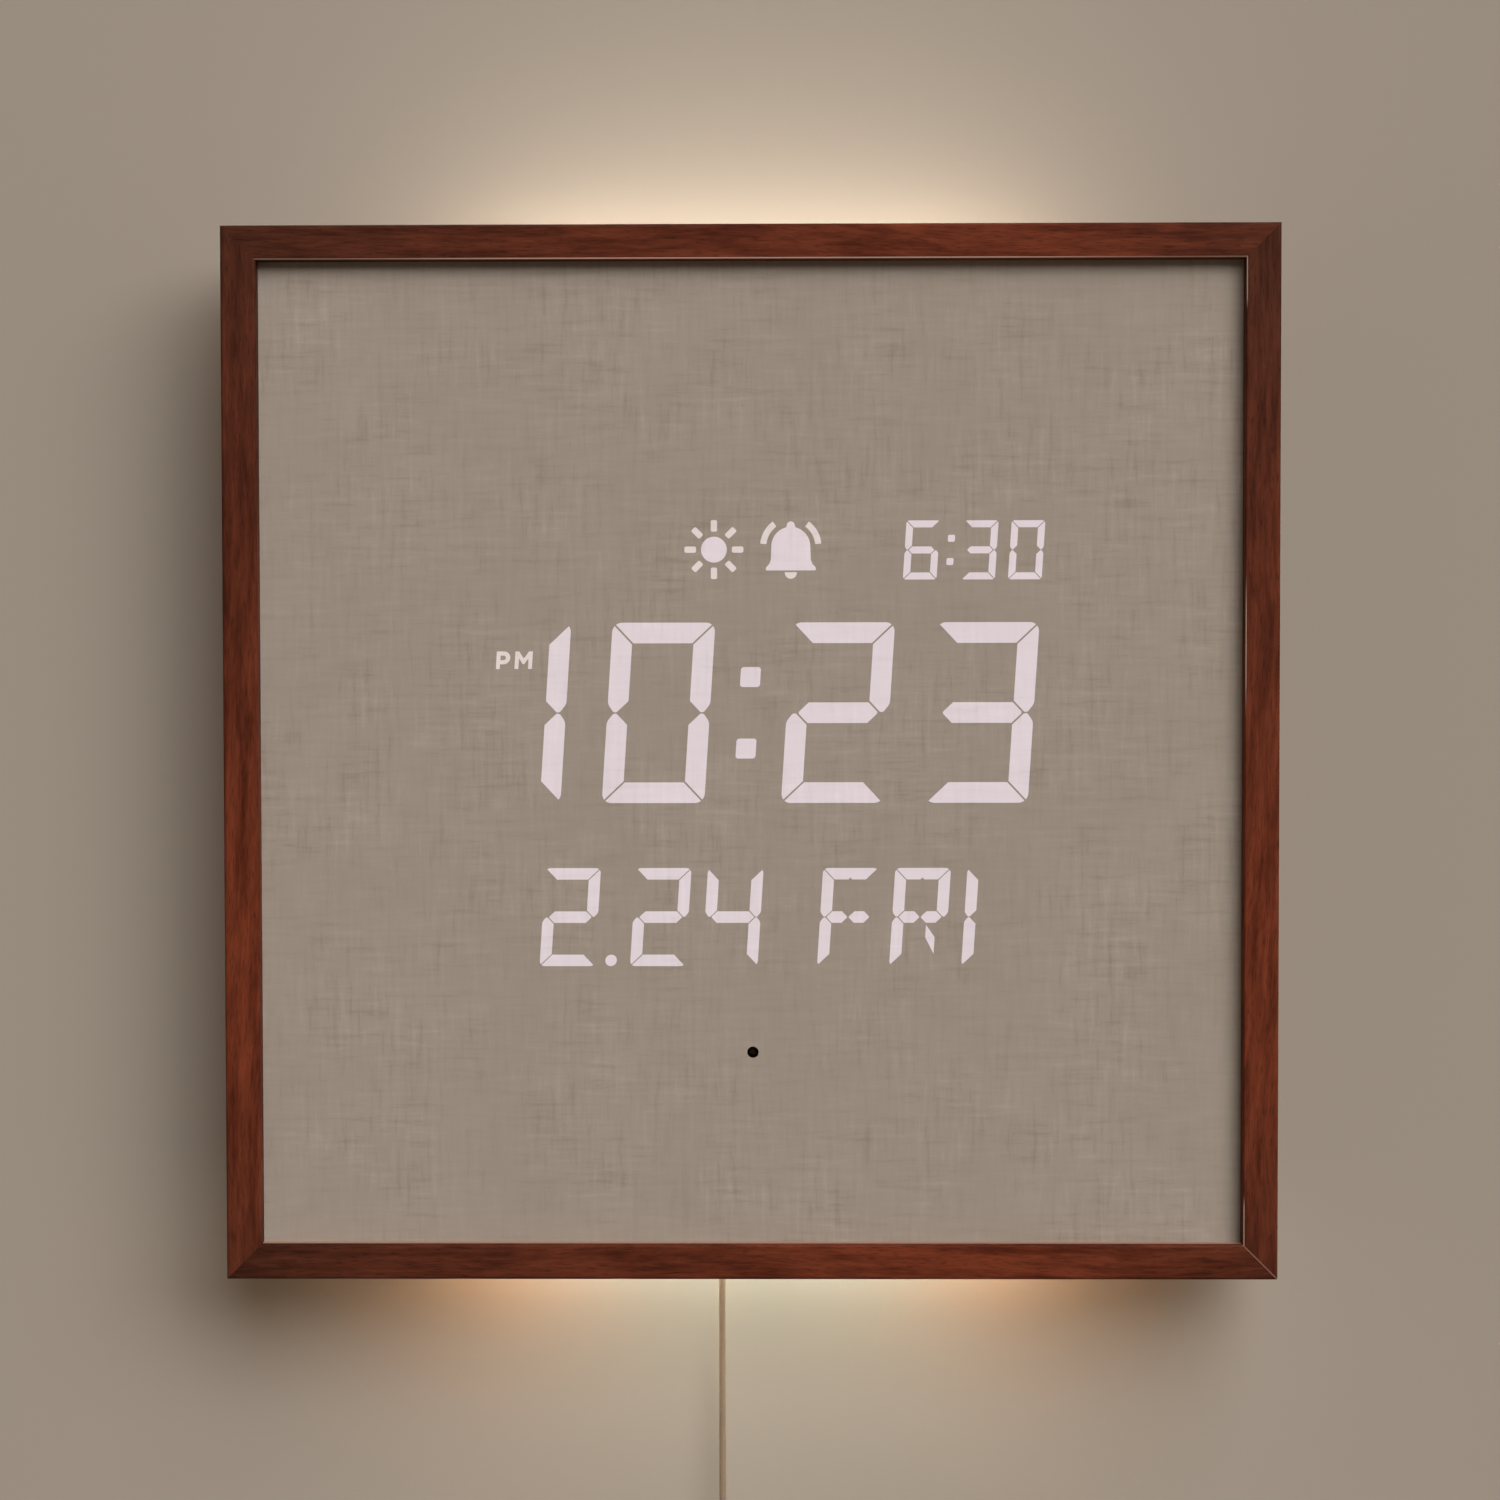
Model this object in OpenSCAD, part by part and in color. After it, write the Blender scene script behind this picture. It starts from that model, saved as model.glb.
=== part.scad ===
// Digital wall clock with a linen face in a mitred wooden frame, millimetres.
// Row frame: +Z up, the face looks along -Y, and the plane y = 0 is the wall behind the clock.

/* [Frame] */
// Outer side of the square wooden frame
frame_side = 300; // [260:1:340]
// Depth of the frame rails from front to back
frame_depth = 24; // [22:0.5:30]
// Width of the front face of a rail
rail_face = 10; // [8.5:0.5:14]
// Depth of the front lip, which is how far the cloth lies behind the front
lip_depth = 5; // [4:0.5:6]
// Width of the lip over the cloth
lip_overlap = 4; // [3:0.5:5]
// Width of the shoulder on which the back board is screwed
board_seat = 4; // [3.6:0.2:4.4]
// Radius on the outer front edge of the rails
outer_round = 0.9; // [0.4:0.1:2]
// Radius on the inner front edge of the rails
inner_round = 0.7; // [0.4:0.1:1.5]
// Length of each leg of a corner nail
nail_leg = 5; // [4:0.5:6]
// Thickness of the corner nail strip
nail_thick = 0.6; // [0.4:0.1:1]
// Height of the corner nails
nail_tall = 7; // [5:0.5:9]

/* [Face] */
// Thickness of the linen cloth
cloth_thick = 0.6; // [0.4:0.1:0.8]
// Width of the cloth hem glued behind the panel
hem_width = 7; // [5:0.5:9]
// Thickness of the face panel
panel_thick = 2; // [1.5:0.1:3]
// Side gap between the covered panel and the frame
face_gap = 0.5; // [0.3:0.1:1]
// Width of the spacer strips behind the panel
spacer_width = 8; // [6:0.5:10]
// Side gap round the spacer and the back board
fit_gap = 0.3; // [0.2:0.1:0.6]
// Thickness of the back board
board_thick = 3; // [2.5:0.1:4]
// Diameter of the sensor hole
sensor_hole = 3.3; // [2.5:0.1:4]
// Height of the sensor hole below the middle of the face
sensor_drop = 85.5; // [82:0.5:92]

/* [Display] */
// Height of the time digits
time_height = 51.5; // [46:0.1:56]
// Width of the time digits
time_width = 29.3; // [26:0.1:32]
// Stroke of the time digits
time_stroke = 5.9; // [5:0.1:7]
// Height of the time row above the middle of the display block
time_rise = 8.7; // [5:0.1:11]
// Spacing of neighbouring time digits
time_pitch = 41.1; // [38:0.1:44]
// Spacing of the two digits on the sides of the colon
colon_pitch = 51.2; // [48:0.1:54]
// Size of the square dots of the time colon
time_dot = 5.7; // [5:0.1:7]
// Height of the date digits and letters
date_height = 28.1; // [25:0.1:31]
// Width of the date digits and letters
date_width = 15.9; // [14:0.1:17]
// Stroke of the date digits and letters
date_stroke = 3.3; // [3:0.1:4]
// Height of the date row above the lower edge of the display block
date_rise = 23.3; // [22:0.1:26]
// Spacing of date digits and letters
date_pitch = 20.6; // [19.5:0.1:22]
// Spacing of the digits on the sides of the date dot
date_dot_pitch = 25.9; // [24:0.1:28]
// Height of the alarm digits
alarm_height = 16.8; // [15:0.1:19]
// Width of the alarm digits
alarm_width = 9.6; // [8.5:0.1:10.5]
// Stroke of the alarm digits
alarm_stroke = 2; // [1.8:0.1:2.4]
// Drop of the alarm row below the upper edge of the display block
alarm_drop = 18; // [17:0.1:21]
// Spacing of the alarm minutes digits
alarm_pitch = 13.3; // [12.5:0.1:14]
// Spacing of the digits on the sides of the alarm colon
alarm_colon_pitch = 16.6; // [15.5:0.1:18]
// Slant of all digits, sideways shift for each millimetre of height
slant = 0.064; // [0:0.004:0.1]
// Gap between neighbouring segments of the time digits
segment_gap = 0.5; // [0.3:0.1:0.8]
// Width of the display block
display_width = 186; // [182:1:196]
// Height of the display block
display_height = 146; // [142:1:152]
// Height of the middle of the display block above the middle of the face
display_rise = 3; // [0:0.5:5]
// Depth of the light wells
well_depth = 8; // [6.5:0.1:9]
// Thickness of the diffuser film
film_thick = 0.3; // [0.2:0.1:0.5]
// Thickness of the circuit boards
circuit_thick = 1.6; // [1:0.1:2]

/* [Housing] */
// Width of the rear housing
housing_width = 180; // [176:1:190]
// Height of the rear housing
housing_height = 230; // [226:1:240]
// Depth of the rear housing, which holds the frame off the wall
housing_depth = 18; // [17.6:0.1:20]
// Wall of the rear housing
housing_wall = 2.5; // [2:0.1:3]
// Corner radius of the rear housing
housing_round = 8; // [6:0.5:12]
// Chamfer on the rear edge of the housing
housing_chamfer = 1.2; // [0.6:0.1:1.6]
// Distance between the two wall keyholes
keyhole_spacing = 100; // [90:1:110]
// Height of the keyhole entries
keyhole_z = 78; // [72:0.5:82]
// Diameter of the keyhole entry
keyhole_entry = 9; // [8:0.1:10]
// Width of the keyhole slot
keyhole_slot = 4.6; // [4:0.1:5]
// Rise from the entry to the end of the slot
keyhole_rise = 9; // [8:0.5:10]
// Distance of the light windows from the sides of the housing
light_margin = 15; // [14:0.5:20]
// Height of the light windows
light_window = 5.6; // [5:0.1:6]
// Distance of the light windows from the wall
light_off = 14; // [13.8:0.1:14.2]

/* [Controls] */
// Height of the button row
button_z = 8; // [6:0.5:10]
// Position of the first button
button_x = 18; // [17:0.5:20]
// Spacing of the buttons
button_pitch = 16; // [14.5:0.5:17]
// Diameter of the button caps
button_size = 8; // [7:0.1:9]
// Travel of the buttons
button_travel = 0.5; // [0.3:0.05:0.6]
// Gap round a button
button_gap = 0.25; // [0.2:0.05:0.4]
// Centre of the coin cell to the right of the middle
cell_x = 27; // [26:0.5:30]
// Centre of the coin cell below the middle
cell_z = -25; // [-28:0.5:-24]
// Diameter of the coin cell
cell_size = 20; // [20:0.1:20.2]
// Thickness of the coin cell
cell_thick = 3.2; // [3:0.1:3.3]
// Diameter of the battery cover
cover_size = 24; // [23:0.1:25]
// Turn of the battery cover from locked to free
cover_turn = 45; // [40:1:50]
// Gap round the battery cover
cover_gap = 0.25; // [0.2:0.05:0.4]
// Diameter of the buzzer
buzzer_size = 20; // [16:0.5:22]

/* [Cord] */
// Diameter of the power cord
cord_size = 2; // [1.8:0.1:2.2]
// Sideways place of the cord
cord_x = -9; // [-12:0.5:-8]
// Distance of the cord from the wall
cord_off = 6.5; // [6.4:0.1:6.8]
// Diameter of the moulded power plug
plug_size = 8; // [7:0.1:8.4]
// Length of the moulded power plug
plug_long = 20; // [18:0.5:21]
// Height of the plug seat above the bottom of the housing
plug_rise = 53; // [51:0.5:55]
// Diameter of the plug barrel
barrel_size = 5.5; // [5.3:0.1:5.5]
// Width of the plug at the far end
usb_width = 15.6; // [15:0.1:17]
// Thickness of the plug at the far end
usb_thick = 7.6; // [7:0.1:8.5]
// Length of the plug at the far end
usb_long = 24; // [20:0.5:28]

/* [Hidden] */
$fn = 48;
// The small gap that keeps two round faces apart
round_gap = 0.15;
// Play of a screw in its thread
thread_gap = 0.05;
// How far a cutting shape passes the face that it cuts, and how far a joined shape sinks in
past = 1;
sunk = 0.1;

// Depths, each one the y value of a face
y_front = -(housing_depth + frame_depth);
y_frame_back = -housing_depth;
y_cloth = y_front + lip_depth;
y_panel = y_cloth + cloth_thick;
y_panel_back = y_panel + panel_thick;
y_hem_back = y_panel_back + cloth_thick;
y_board = y_frame_back - board_thick;
y_film_back = y_panel_back + film_thick;
y_wells_back = y_film_back + well_depth;
y_display_back = y_wells_back + circuit_thick;
y_floor = -housing_wall;

// Half sizes across the face
half = frame_side / 2;
rebate_half = half - rail_face + lip_overlap;
cloth_half = rebate_half - face_gap;
panel_half = cloth_half - cloth_thick;
spacer_half = rebate_half - fit_gap;
board_half = rebate_half + board_seat - fit_gap;
seat_middle = rebate_half + board_seat / 2;

// Heights of the rows in the display block
display_middle = [0, display_rise];
display_top = display_rise + display_height / 2;
display_bottom = display_rise - display_height / 2;
time_z = display_rise + time_rise;
date_z = display_bottom + date_rise;
alarm_z = display_top - alarm_drop;

// The display rows: middle of the cell, segments that exist, segments that are lit
time_x = -0.7;
time_cells = [[time_x - colon_pitch / 2 - time_pitch, "bc", "bc"],
    [time_x - colon_pitch / 2, "abcdefg", "abcdef"],
    [time_x + colon_pitch / 2, "abcdefg", "abged"],
    [time_x + colon_pitch / 2 + time_pitch, "abcdefg", "abgcd"]];
date_x = -5.2;
date_cells = [[date_x - date_pitch - date_dot_pitch - date_pitch, "bc", ""],
    [date_x - date_pitch - date_dot_pitch, "abcdefg", "abged"],
    [date_x - date_pitch, "abcdefg", "abged"],
    [date_x, "abcdefg", "fgbc"]];
week_x = 27.7;
week_cells = [[week_x, "abcdefghijklmn", "afegh"],
    [week_x + date_pitch, "abcdefghijklmn", "abfeghn"],
    [week_x + 2 * date_pitch, "abcdefghijklmn", "fe"]];
alarm_x = 48.7;
alarm_cells = [[alarm_x - alarm_pitch, "bc", ""],
    [alarm_x, "abcdefg", "afgedc"],
    [alarm_x + alarm_colon_pitch, "abcdefg", "abgcd"],
    [alarm_x + alarm_colon_pitch + alarm_pitch, "abcdefg", "abcdef"]];

// Dots between the digits
time_dot_rise = 10.2;
time_dot_round = 0.8;
alarm_dot_rise = 3.3;
alarm_dot_round = 0.4;
date_dot_shift = 1.3;
dot_x = date_x - date_pitch - date_dot_pitch / 2 - date_dot_shift;

// Places of the sun, the bell, the two half-day marks and the sensor
sun_x = -10.3;
bell_x = 11.6;
mark_rise = 0.2;
sun_place = [sun_x, alarm_z + mark_rise];
bell_place = [bell_x, alarm_z + mark_rise];
half_day_x = -68.3;
half_day_rise = 14.9;
half_day_places = [for (k = [1, -1]) [half_day_x + slant * half_day_rise * k, time_z + half_day_rise * k]];
sensor_x = 0.5;
sensor_place = [sensor_x, -sensor_drop];

// Outline helpers
function joined(lists) = [for (l = lists) each l];
function corner_arc(a, p, b, r, n) = r <= 0 ? [p] :
    let (u = (a - p) / norm(a - p), v = (b - p) / norm(b - p), h = acos(u * v) / 2,
        c = p + (u + v) / norm(u + v) * r / sin(h), s = p + u * r / tan(h) - c, e = p + v * r / tan(h) - c,
        a0 = atan2(s[1], s[0]), turn = (atan2(e[1], e[0]) - a0 + 540) % 360 - 180)
    [for (i = [0:n]) c + r * [cos(a0 + turn * i / n), sin(a0 + turn * i / n)]];
function rounded(p, r, n = 3) = joined([for (i = [0:len(p) - 1])
    corner_arc(p[(i + len(p) - 1) % len(p)], p[i], p[(i + 1) % len(p)], r[i], n)]);
function flip_x(p) = [for (q = p) [-q[0], q[1]]];
function flip_z(p) = [for (q = p) [q[0], -q[1]]];
function sheared(p, c) = [for (q = p) [c[0] + q[0] + slant * q[1], c[1] + q[1]]];
function box(w, h, r, n = 4) = rounded([[-w / 2, -h / 2], [w / 2, -h / 2], [w / 2, h / 2], [-w / 2, h / 2]],
    [r, r, r, r], n);
function has(letter, word) = len([for (c = word) if (c == letter) 1]) > 0;

// Shape of a digit's segments, as shares of the stroke or of the gap
corner_share = 0.46;
gap_share_least = 0.5;
gap_step = 0.707;
waist_share = 0.4;
tip_share = 0.48;
tip_flat_share = 0.16;
shoulder_share = 0.4;
side_rounds = [0.5, 0.15, 0.1, 0.08, 0];
middle_round = 0.1;
notch_share = 0.17;
post_share = 0.56;
slope_low = 1.32;
slope_high = 1.74;
function backward(p) = [for (i = [len(p) - 1:-1:0]) p[i]];

// The outer corner of a digit is round, and the gap beside the top bar cuts it at this depth under the top
function corner_cut(r, m) = (2 * r - m - sqrt(pow(2 * r - m, 2) - 2 * pow(r - m, 2))) / 2;
function corner_round(w, h, r, from, to, n = 4) = [for (i = [0:n]) let (a = from + (to - from) * i / n)
    [-w / 2 + r + r * cos(a), h / 2 - r + r * sin(a)]];

// One segment of a digit of width w, height h and stroke s, where m is the step aside from each gap
function bar_top(w, h, s, m, notch) = let (r = corner_share * s, u = corner_cut(r, m), z = h / 2 - s,
        left = corner_round(w, h, r, atan2(r - u, m + u - r), 90),
        dent = notch > 0 ? [[notch, z], [0, z + notch], [-notch, z]] : [])
    concat(left, backward(flip_x(left)), [[w / 2 - s - m, z]], dent, [[-w / 2 + s + m, z]]);
function bar_side(w, h, s, m, g) = let (r = corner_share * s, u = corner_cut(r, m),
        tip = tip_share * s + g - m,
        arc = corner_round(w, h, r, atan2(r - m - u, u - r), 180),
        rest = [[-w / 2, g + shoulder_share * s], [-w / 2 + tip - tip_flat_share * s, g], [-w / 2 + tip, g],
            [-w / 2 + s, g + s - tip], [-w / 2 + s, h / 2 - s - m]])
    rounded(concat(arc, rest), concat([for (p = arc) 0], s * side_rounds));
function bar_middle(x0, x1, s) = rounded([[x0, 0], [x0 + s / 2, s / 2], [x1 - s / 2, s / 2], [x1, 0],
    [x1 - s / 2, -s / 2], [x0 + s / 2, -s / 2]], s * middle_round * [1, 0, 0, 1, 0, 0]);
function bar_slope(w, h, s, m) = let (x0 = post_share * s, x1 = w / 2 - s - m / 2,
        z0 = s / 2 + 3 * m, z1 = h / 2 - s - m)
    [[x0, z0], [x1, z0 + slope_low * (x1 - x0)], [x1, z1], [x0, z1 - slope_high * (x1 - x0)]];
function bar_post(w, h, s, m, notch) = let (x = post_share * s - m, z0 = s / 2 + m,
        z1 = h / 2 - s + notch - 2 * m)
    [[0, z0], [x, z0 + x], [x, z1 - x], [0, z1], [-x, z1 - x], [-x, z0 + x]];
function segment(c, w, h, s, wide) = let (share = max(gap_share_least, s / time_stroke),
        m = gap_step * segment_gap * share, g = waist_share * segment_gap * share, t = tip_share * s,
        notch = wide ? notch_share * s : 0)
    c == "a" ? bar_top(w, h, s, m, notch) : c == "d" ? flip_z(bar_top(w, h, s, m, notch)) :
    c == "f" ? bar_side(w, h, s, m, g) : c == "b" ? flip_x(bar_side(w, h, s, m, g)) :
    c == "e" ? flip_z(bar_side(w, h, s, m, g)) : c == "c" ? flip_x(flip_z(bar_side(w, h, s, m, g))) :
    c == "g" && !wide ? bar_middle(-w / 2 + t + m, w / 2 - t - m, s) :
    c == "g" ? bar_middle(-w / 2 + t + m, -m / 2, s) : c == "h" ? bar_middle(m / 2, w / 2 - t - m, s) :
    c == "j" ? bar_post(w, h, s, m, notch) : c == "m" ? flip_z(bar_post(w, h, s, m, notch)) :
    c == "k" ? bar_slope(w, h, s, m) : c == "i" ? flip_x(bar_slope(w, h, s, m)) :
    c == "n" ? flip_z(bar_slope(w, h, s, m)) : flip_x(flip_z(bar_slope(w, h, s, m)));
function middle(p) = [for (k = [0, 1]) let (v = [for (q = p) q[k]]) (min(v) + max(v)) / 2];

// Outlines of a row: all the segments that exist, or only the lit ones
function row(cells, z, w, h, s, lit, wide = false) = [for (cell = cells) for (c = cell[1])
    if (!lit || has(c, cell[2])) sheared(segment(c, w, h, s, wide), [cell[0], z])];
function dot(x, z, size, r, n = 3) = [for (q = box(size, size, r, n)) [x + q[0] + slant * q[1], z + q[1]]];
time_dots = [for (k = [-1, 1]) dot(time_x + time_dot_rise * k * slant, time_z + time_dot_rise * k, time_dot,
    time_dot_round)];
alarm_dots = [for (k = [-1, 1]) dot(alarm_x + alarm_colon_pitch / 2 + alarm_dot_rise * k * slant,
    alarm_z + alarm_dot_rise * k, alarm_stroke, alarm_dot_round)];
date_dot = dot(dot_x, date_z - date_height / 2 + date_stroke / 2, date_stroke, date_stroke / 2 - 0.01, 6);
function time_shapes(lit) = concat(row(time_cells, time_z, time_width, time_height, time_stroke, lit),
    time_dots);
function date_shapes(lit) = concat(row(date_cells, date_z, date_width, date_height, date_stroke, lit),
    [date_dot]);
function week_shapes(lit) = row(week_cells, date_z, date_width, date_height, date_stroke, lit, true);
function alarm_shapes(lit) = concat(row(alarm_cells, alarm_z, alarm_width, alarm_height, alarm_stroke, lit),
    alarm_dots);
all_shapes = concat(time_shapes(false), date_shapes(false), week_shapes(false), alarm_shapes(false));
lit_shapes = concat(time_shapes(true), date_shapes(true), week_shapes(true), alarm_shapes(true));

// Solid from an outline drawn on the face, from y_back forward by thick
module on_face(y_back, thick) {
    translate([0, y_back, 0]) rotate([90, 0, 0]) linear_extrude(thick) children();
}
module shapes(list) {
    for (p = list) polygon(p);
}
module pegs(places, y_back, r, long) {
    for (p = places) translate([p[0], y_back, p[1]]) rotate([90, 0, 0]) cylinder(r = r, h = long, $fn = 32);
}

// Rounded slab standing on the plane y = y_back, reaching forward, with a chamfer on its rear edge
module slab(w, h, deep, r, chamfer, y_back) {
    c = chamfer;
    translate([0, y_back, 0]) rotate([90, 0, 0]) {
        translate([0, -(h - 2 * r) / 2, 0]) rotate([90, 0, 180]) mirror([1, 0, 0]) linear_extrude(h - 2 * r)
            polygon([[-w / 2 + c, 0], [w / 2 - c, 0], [w / 2, c], [w / 2, deep],
                [-w / 2, deep], [-w / 2, c]]);
        translate([-(w - 2 * r) / 2, 0, 0]) rotate([90, 0, 90]) linear_extrude(w - 2 * r)
            polygon([[-h / 2 + c, 0], [h / 2 - c, 0], [h / 2, c], [h / 2, deep],
                [-h / 2, deep], [-h / 2, c]]);
        for (x = [-1, 1]) for (z = [-1, 1]) translate([x * (w / 2 - r), z * (h / 2 - r), 0])
            rotate_extrude() polygon([[0, 0], [r - c, 0], [r, c], [r, deep], [0, deep]]);
    }
}

// Frame
corners = [[1, 1], [1, -1], [-1, -1], [-1, 1]];
nail_inset = 0.5;
nail_at = seat_middle + nail_inset;
module nail(k) {
    translate([corners[k][0] * nail_at, y_board, corners[k][1] * nail_at]) rotate([0, 90 * k, 0])
        rotate([90, 0, 0]) linear_extrude(nail_tall) polygon([[nail_thick / 2, nail_thick / 2],
            [-nail_leg, nail_thick / 2], [-nail_leg, -nail_thick / 2], [-nail_thick / 2, -nail_thick / 2],
            [-nail_thick / 2, -nail_leg], [nail_thick / 2, -nail_leg]]);
}
module nails() {
    for (k = [0:3]) nail(k);
}
screw_from_corner = 72;
seat_step = half - screw_from_corner;
board_screws = joined([for (k = [-1, 1]) for (j = [-1, 1]) [[k * seat_step, j * seat_middle],
    [j * seat_middle, k * seat_step]]]);
screw_shank = 1;
screw_head = 1.8;
screw_head_tall = 0.95;
screw_sink = 1;
screw_long = 11;
pilot_spare = 1.2;
y_pilot_tip = y_frame_back - screw_sink - screw_long - pilot_spare;
back_round = 0.5;
module rail() {
    mitre = rail_face + past;
    steps = [[0, 0], [rail_face, 0], [rail_face, lip_depth], [rail_face - lip_overlap, lip_depth],
        [rail_face - lip_overlap, frame_depth - board_thick],
        [rail_face - lip_overlap - board_seat, frame_depth - board_thick],
        [rail_face - lip_overlap - board_seat, frame_depth], [0, frame_depth]];
    profile = rounded(steps, [outer_round, inner_round, 0, 0, 0, 0, 0, back_round], 5);
    intersection() {
        translate([-half, 0, 0]) rotate([90, 0, 90]) linear_extrude(frame_side)
            polygon([for (q = profile) [y_front + q[1], half - q[0]]]);
        on_face(y_frame_back + past, frame_depth + 2 * past) polygon([[-half, half], [half, half],
            [half - mitre, half - mitre], [-half + mitre, half - mitre]]);
    }
}
module frame_rail(k) {
    color([0.32, 0.16, 0.1]) difference() {
        rotate([0, 90 * k, 0]) rail();
        nails();
        pegs(board_screws, y_board + past, screw_shank, y_board + past - y_pilot_tip);
    }
}
module corner_nails() {
    color([0.55, 0.56, 0.58]) nails();
}

// Face
module linen_cover() {
    color([0.59, 0.54, 0.49]) union() {
        on_face(y_panel, cloth_thick) difference() {
            square(2 * cloth_half, center = true);
            shapes(lit_shapes);
            translate(sensor_place) circle(d = sensor_hole);
        }
        on_face(y_hem_back, y_hem_back - y_panel) difference() {
            square(2 * cloth_half, center = true);
            square(2 * panel_half, center = true);
        }
        on_face(y_hem_back, cloth_thick) difference() {
            square(2 * cloth_half, center = true);
            square(2 * (cloth_half - hem_width), center = true);
        }
    }
}
module face_panel() {
    color([0.92, 0.92, 0.9]) on_face(y_panel_back, panel_thick) difference() {
        square(2 * panel_half, center = true);
        translate(sensor_place) circle(d = sensor_hole);
    }
}
module lit(list) {
    color([1, 0.95, 0.95]) on_face(y_panel, cloth_thick) shapes(list);
}
module spacer_frame() {
    color([0.72, 0.6, 0.44]) on_face(y_board, y_board - y_hem_back) difference() {
        square(2 * spacer_half, center = true);
        square(2 * (spacer_half - spacer_width), center = true);
    }
}

// Display block, from the diffuser film back to the circuit board
post_inset = 5;
post_x = display_width / 2 - post_inset;
post_z = display_height / 2 - post_inset;
display_posts = [for (c = corners) display_middle + [c[0] * post_x, c[1] * post_z]];
tongue_width = 24;
tongue_below = 8;
sun_well = 18.4;
bell_well = [18.6, 18.4];
half_day_well = [11.6, 6.6];
bell_well_round = 3;
half_day_well_round = 0.8;
// Small screws that hold the circuit boards
small_head = 1.9;
small_head_tall = 1.2;
small_shank = 0.95;
small_bite = 4.6;
small_spare = 0.6;
module display_outline() {
    translate(display_middle) square([display_width, display_height], center = true);
}
module diffuser_film() {
    color([0.95, 0.95, 0.97]) on_face(y_film_back, film_thick) display_outline();
}
module display_reflector() {
    color([0.9, 0.9, 0.88]) difference() {
        on_face(y_wells_back, well_depth) difference() {
            display_outline();
            shapes(all_shapes);
            translate(sun_place) circle(d = sun_well);
            translate(bell_place) polygon(box(bell_well[0], bell_well[1], bell_well_round));
            for (p = half_day_places) translate(p)
                polygon(box(half_day_well[0], half_day_well[1], half_day_well_round));
        }
        pegs(display_posts, y_wells_back + past, small_shank + thread_gap, past + small_bite + small_spare);
    }
}
module display_board() {
    color([0.12, 0.3, 0.2]) difference() {
        on_face(y_display_back, circuit_thick) union() {
            display_outline();
            translate([sensor_place[0] - tongue_width / 2, sensor_place[1] - tongue_below])
                square([tongue_width, display_middle[1] - sensor_place[1] + tongue_below - post_z]);
        }
        pegs(display_posts, y_display_back + past, small_shank + round_gap, circuit_thick + 2 * past);
    }
}
led_side = 1;
led_tall = 0.7;
led_places = concat([for (p = all_shapes) middle(p)], [sun_place, bell_place], half_day_places);
module segment_leds() {
    color([0.96, 0.94, 0.86]) for (p = led_places)
        translate([p[0] - led_side / 2, y_wells_back - led_tall, p[1] - led_side / 2])
            cube([led_side, led_tall, led_side]);
}
// Screws with a cross recess in the head, pointing forward
cross_wide = 0.5;
cross_deep = 0.5;
cross_share = 0.7;
module cross_recess(head_r) {
    for (a = [0, 90]) rotate([0, 0, a]) translate([-cross_wide / 2, -head_r * cross_share, -past])
        cube([cross_wide, 2 * head_r * cross_share, past + cross_deep]);
}
module screw(head_r, head_tall, r, long) {
    difference() {
        union() {
            translate([0, 0, -head_tall]) cylinder(r = head_r, h = head_tall, $fn = 32);
            translate([0, 0, -sunk]) cylinder(r = r, h = long + sunk, $fn = 32);
        }
        translate([0, 0, -head_tall]) cross_recess(head_r);
    }
}
module screws(places, y_head, head_r, head_tall, r, long) {
    for (p = places) translate([p[0], y_head, p[1]]) rotate([90, 0, 0]) screw(head_r, head_tall, r, long);
}
module display_screws() {
    color([0.6, 0.6, 0.62]) screws(display_posts, y_display_back, small_head, small_head_tall, small_shank,
        circuit_thick + small_bite);
}
// Light sensor and the dark tube round it
lens_r = 1.45;
lens_gap = 0.45;
lens_tall = well_depth + film_thick - lens_r - lens_gap;
lens_foot_r = 2;
lens_foot_tall = 1.2;
shroud_r = 3.6;
shroud_gap = 0.2;
module light_sensor() {
    color([0.25, 0.22, 0.2]) union() {
        pegs([sensor_place], y_wells_back, lens_foot_r, lens_foot_tall);
        pegs([sensor_place], y_wells_back - lens_foot_tall / 2, lens_r, lens_tall - lens_foot_tall / 2);
        translate([sensor_place[0], y_wells_back - lens_tall, sensor_place[1]]) sphere(r = lens_r);
    }
}
module sensor_shroud() {
    tall = y_wells_back - y_panel_back;
    color([0.08, 0.08, 0.08]) difference() {
        pegs([sensor_place], y_wells_back, shroud_r, tall);
        pegs([sensor_place], y_wells_back + past, lens_foot_r + shroud_gap, tall + 2 * past);
    }
}

// Back board
ribbon_place = [44, -46];
ribbon_slot = [26, 11];
ribbon_slot_round = 2;
boss_screw = 1.15;
module back_board() {
    color([0.36, 0.27, 0.2]) difference() {
        on_face(y_frame_back, board_thick) difference() {
            square(2 * board_half, center = true);
            translate(ribbon_place) polygon(box(ribbon_slot[0], ribbon_slot[1], ribbon_slot_round));
        }
        pegs(board_screws, y_frame_back + past, screw_shank + 2 * thread_gap, board_thick + 2 * past);
        pegs(board_screws, y_frame_back + past, screw_head + round_gap, past + screw_sink);
        pegs(housing_bosses, y_frame_back + past, boss_screw + round_gap, board_thick + 2 * past);
    }
}
module back_board_screws() {
    color([0.2, 0.2, 0.2]) screws(board_screws, y_frame_back - screw_sink, screw_head, screw_head_tall,
        screw_shank - thread_gap, screw_long);
}

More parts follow.
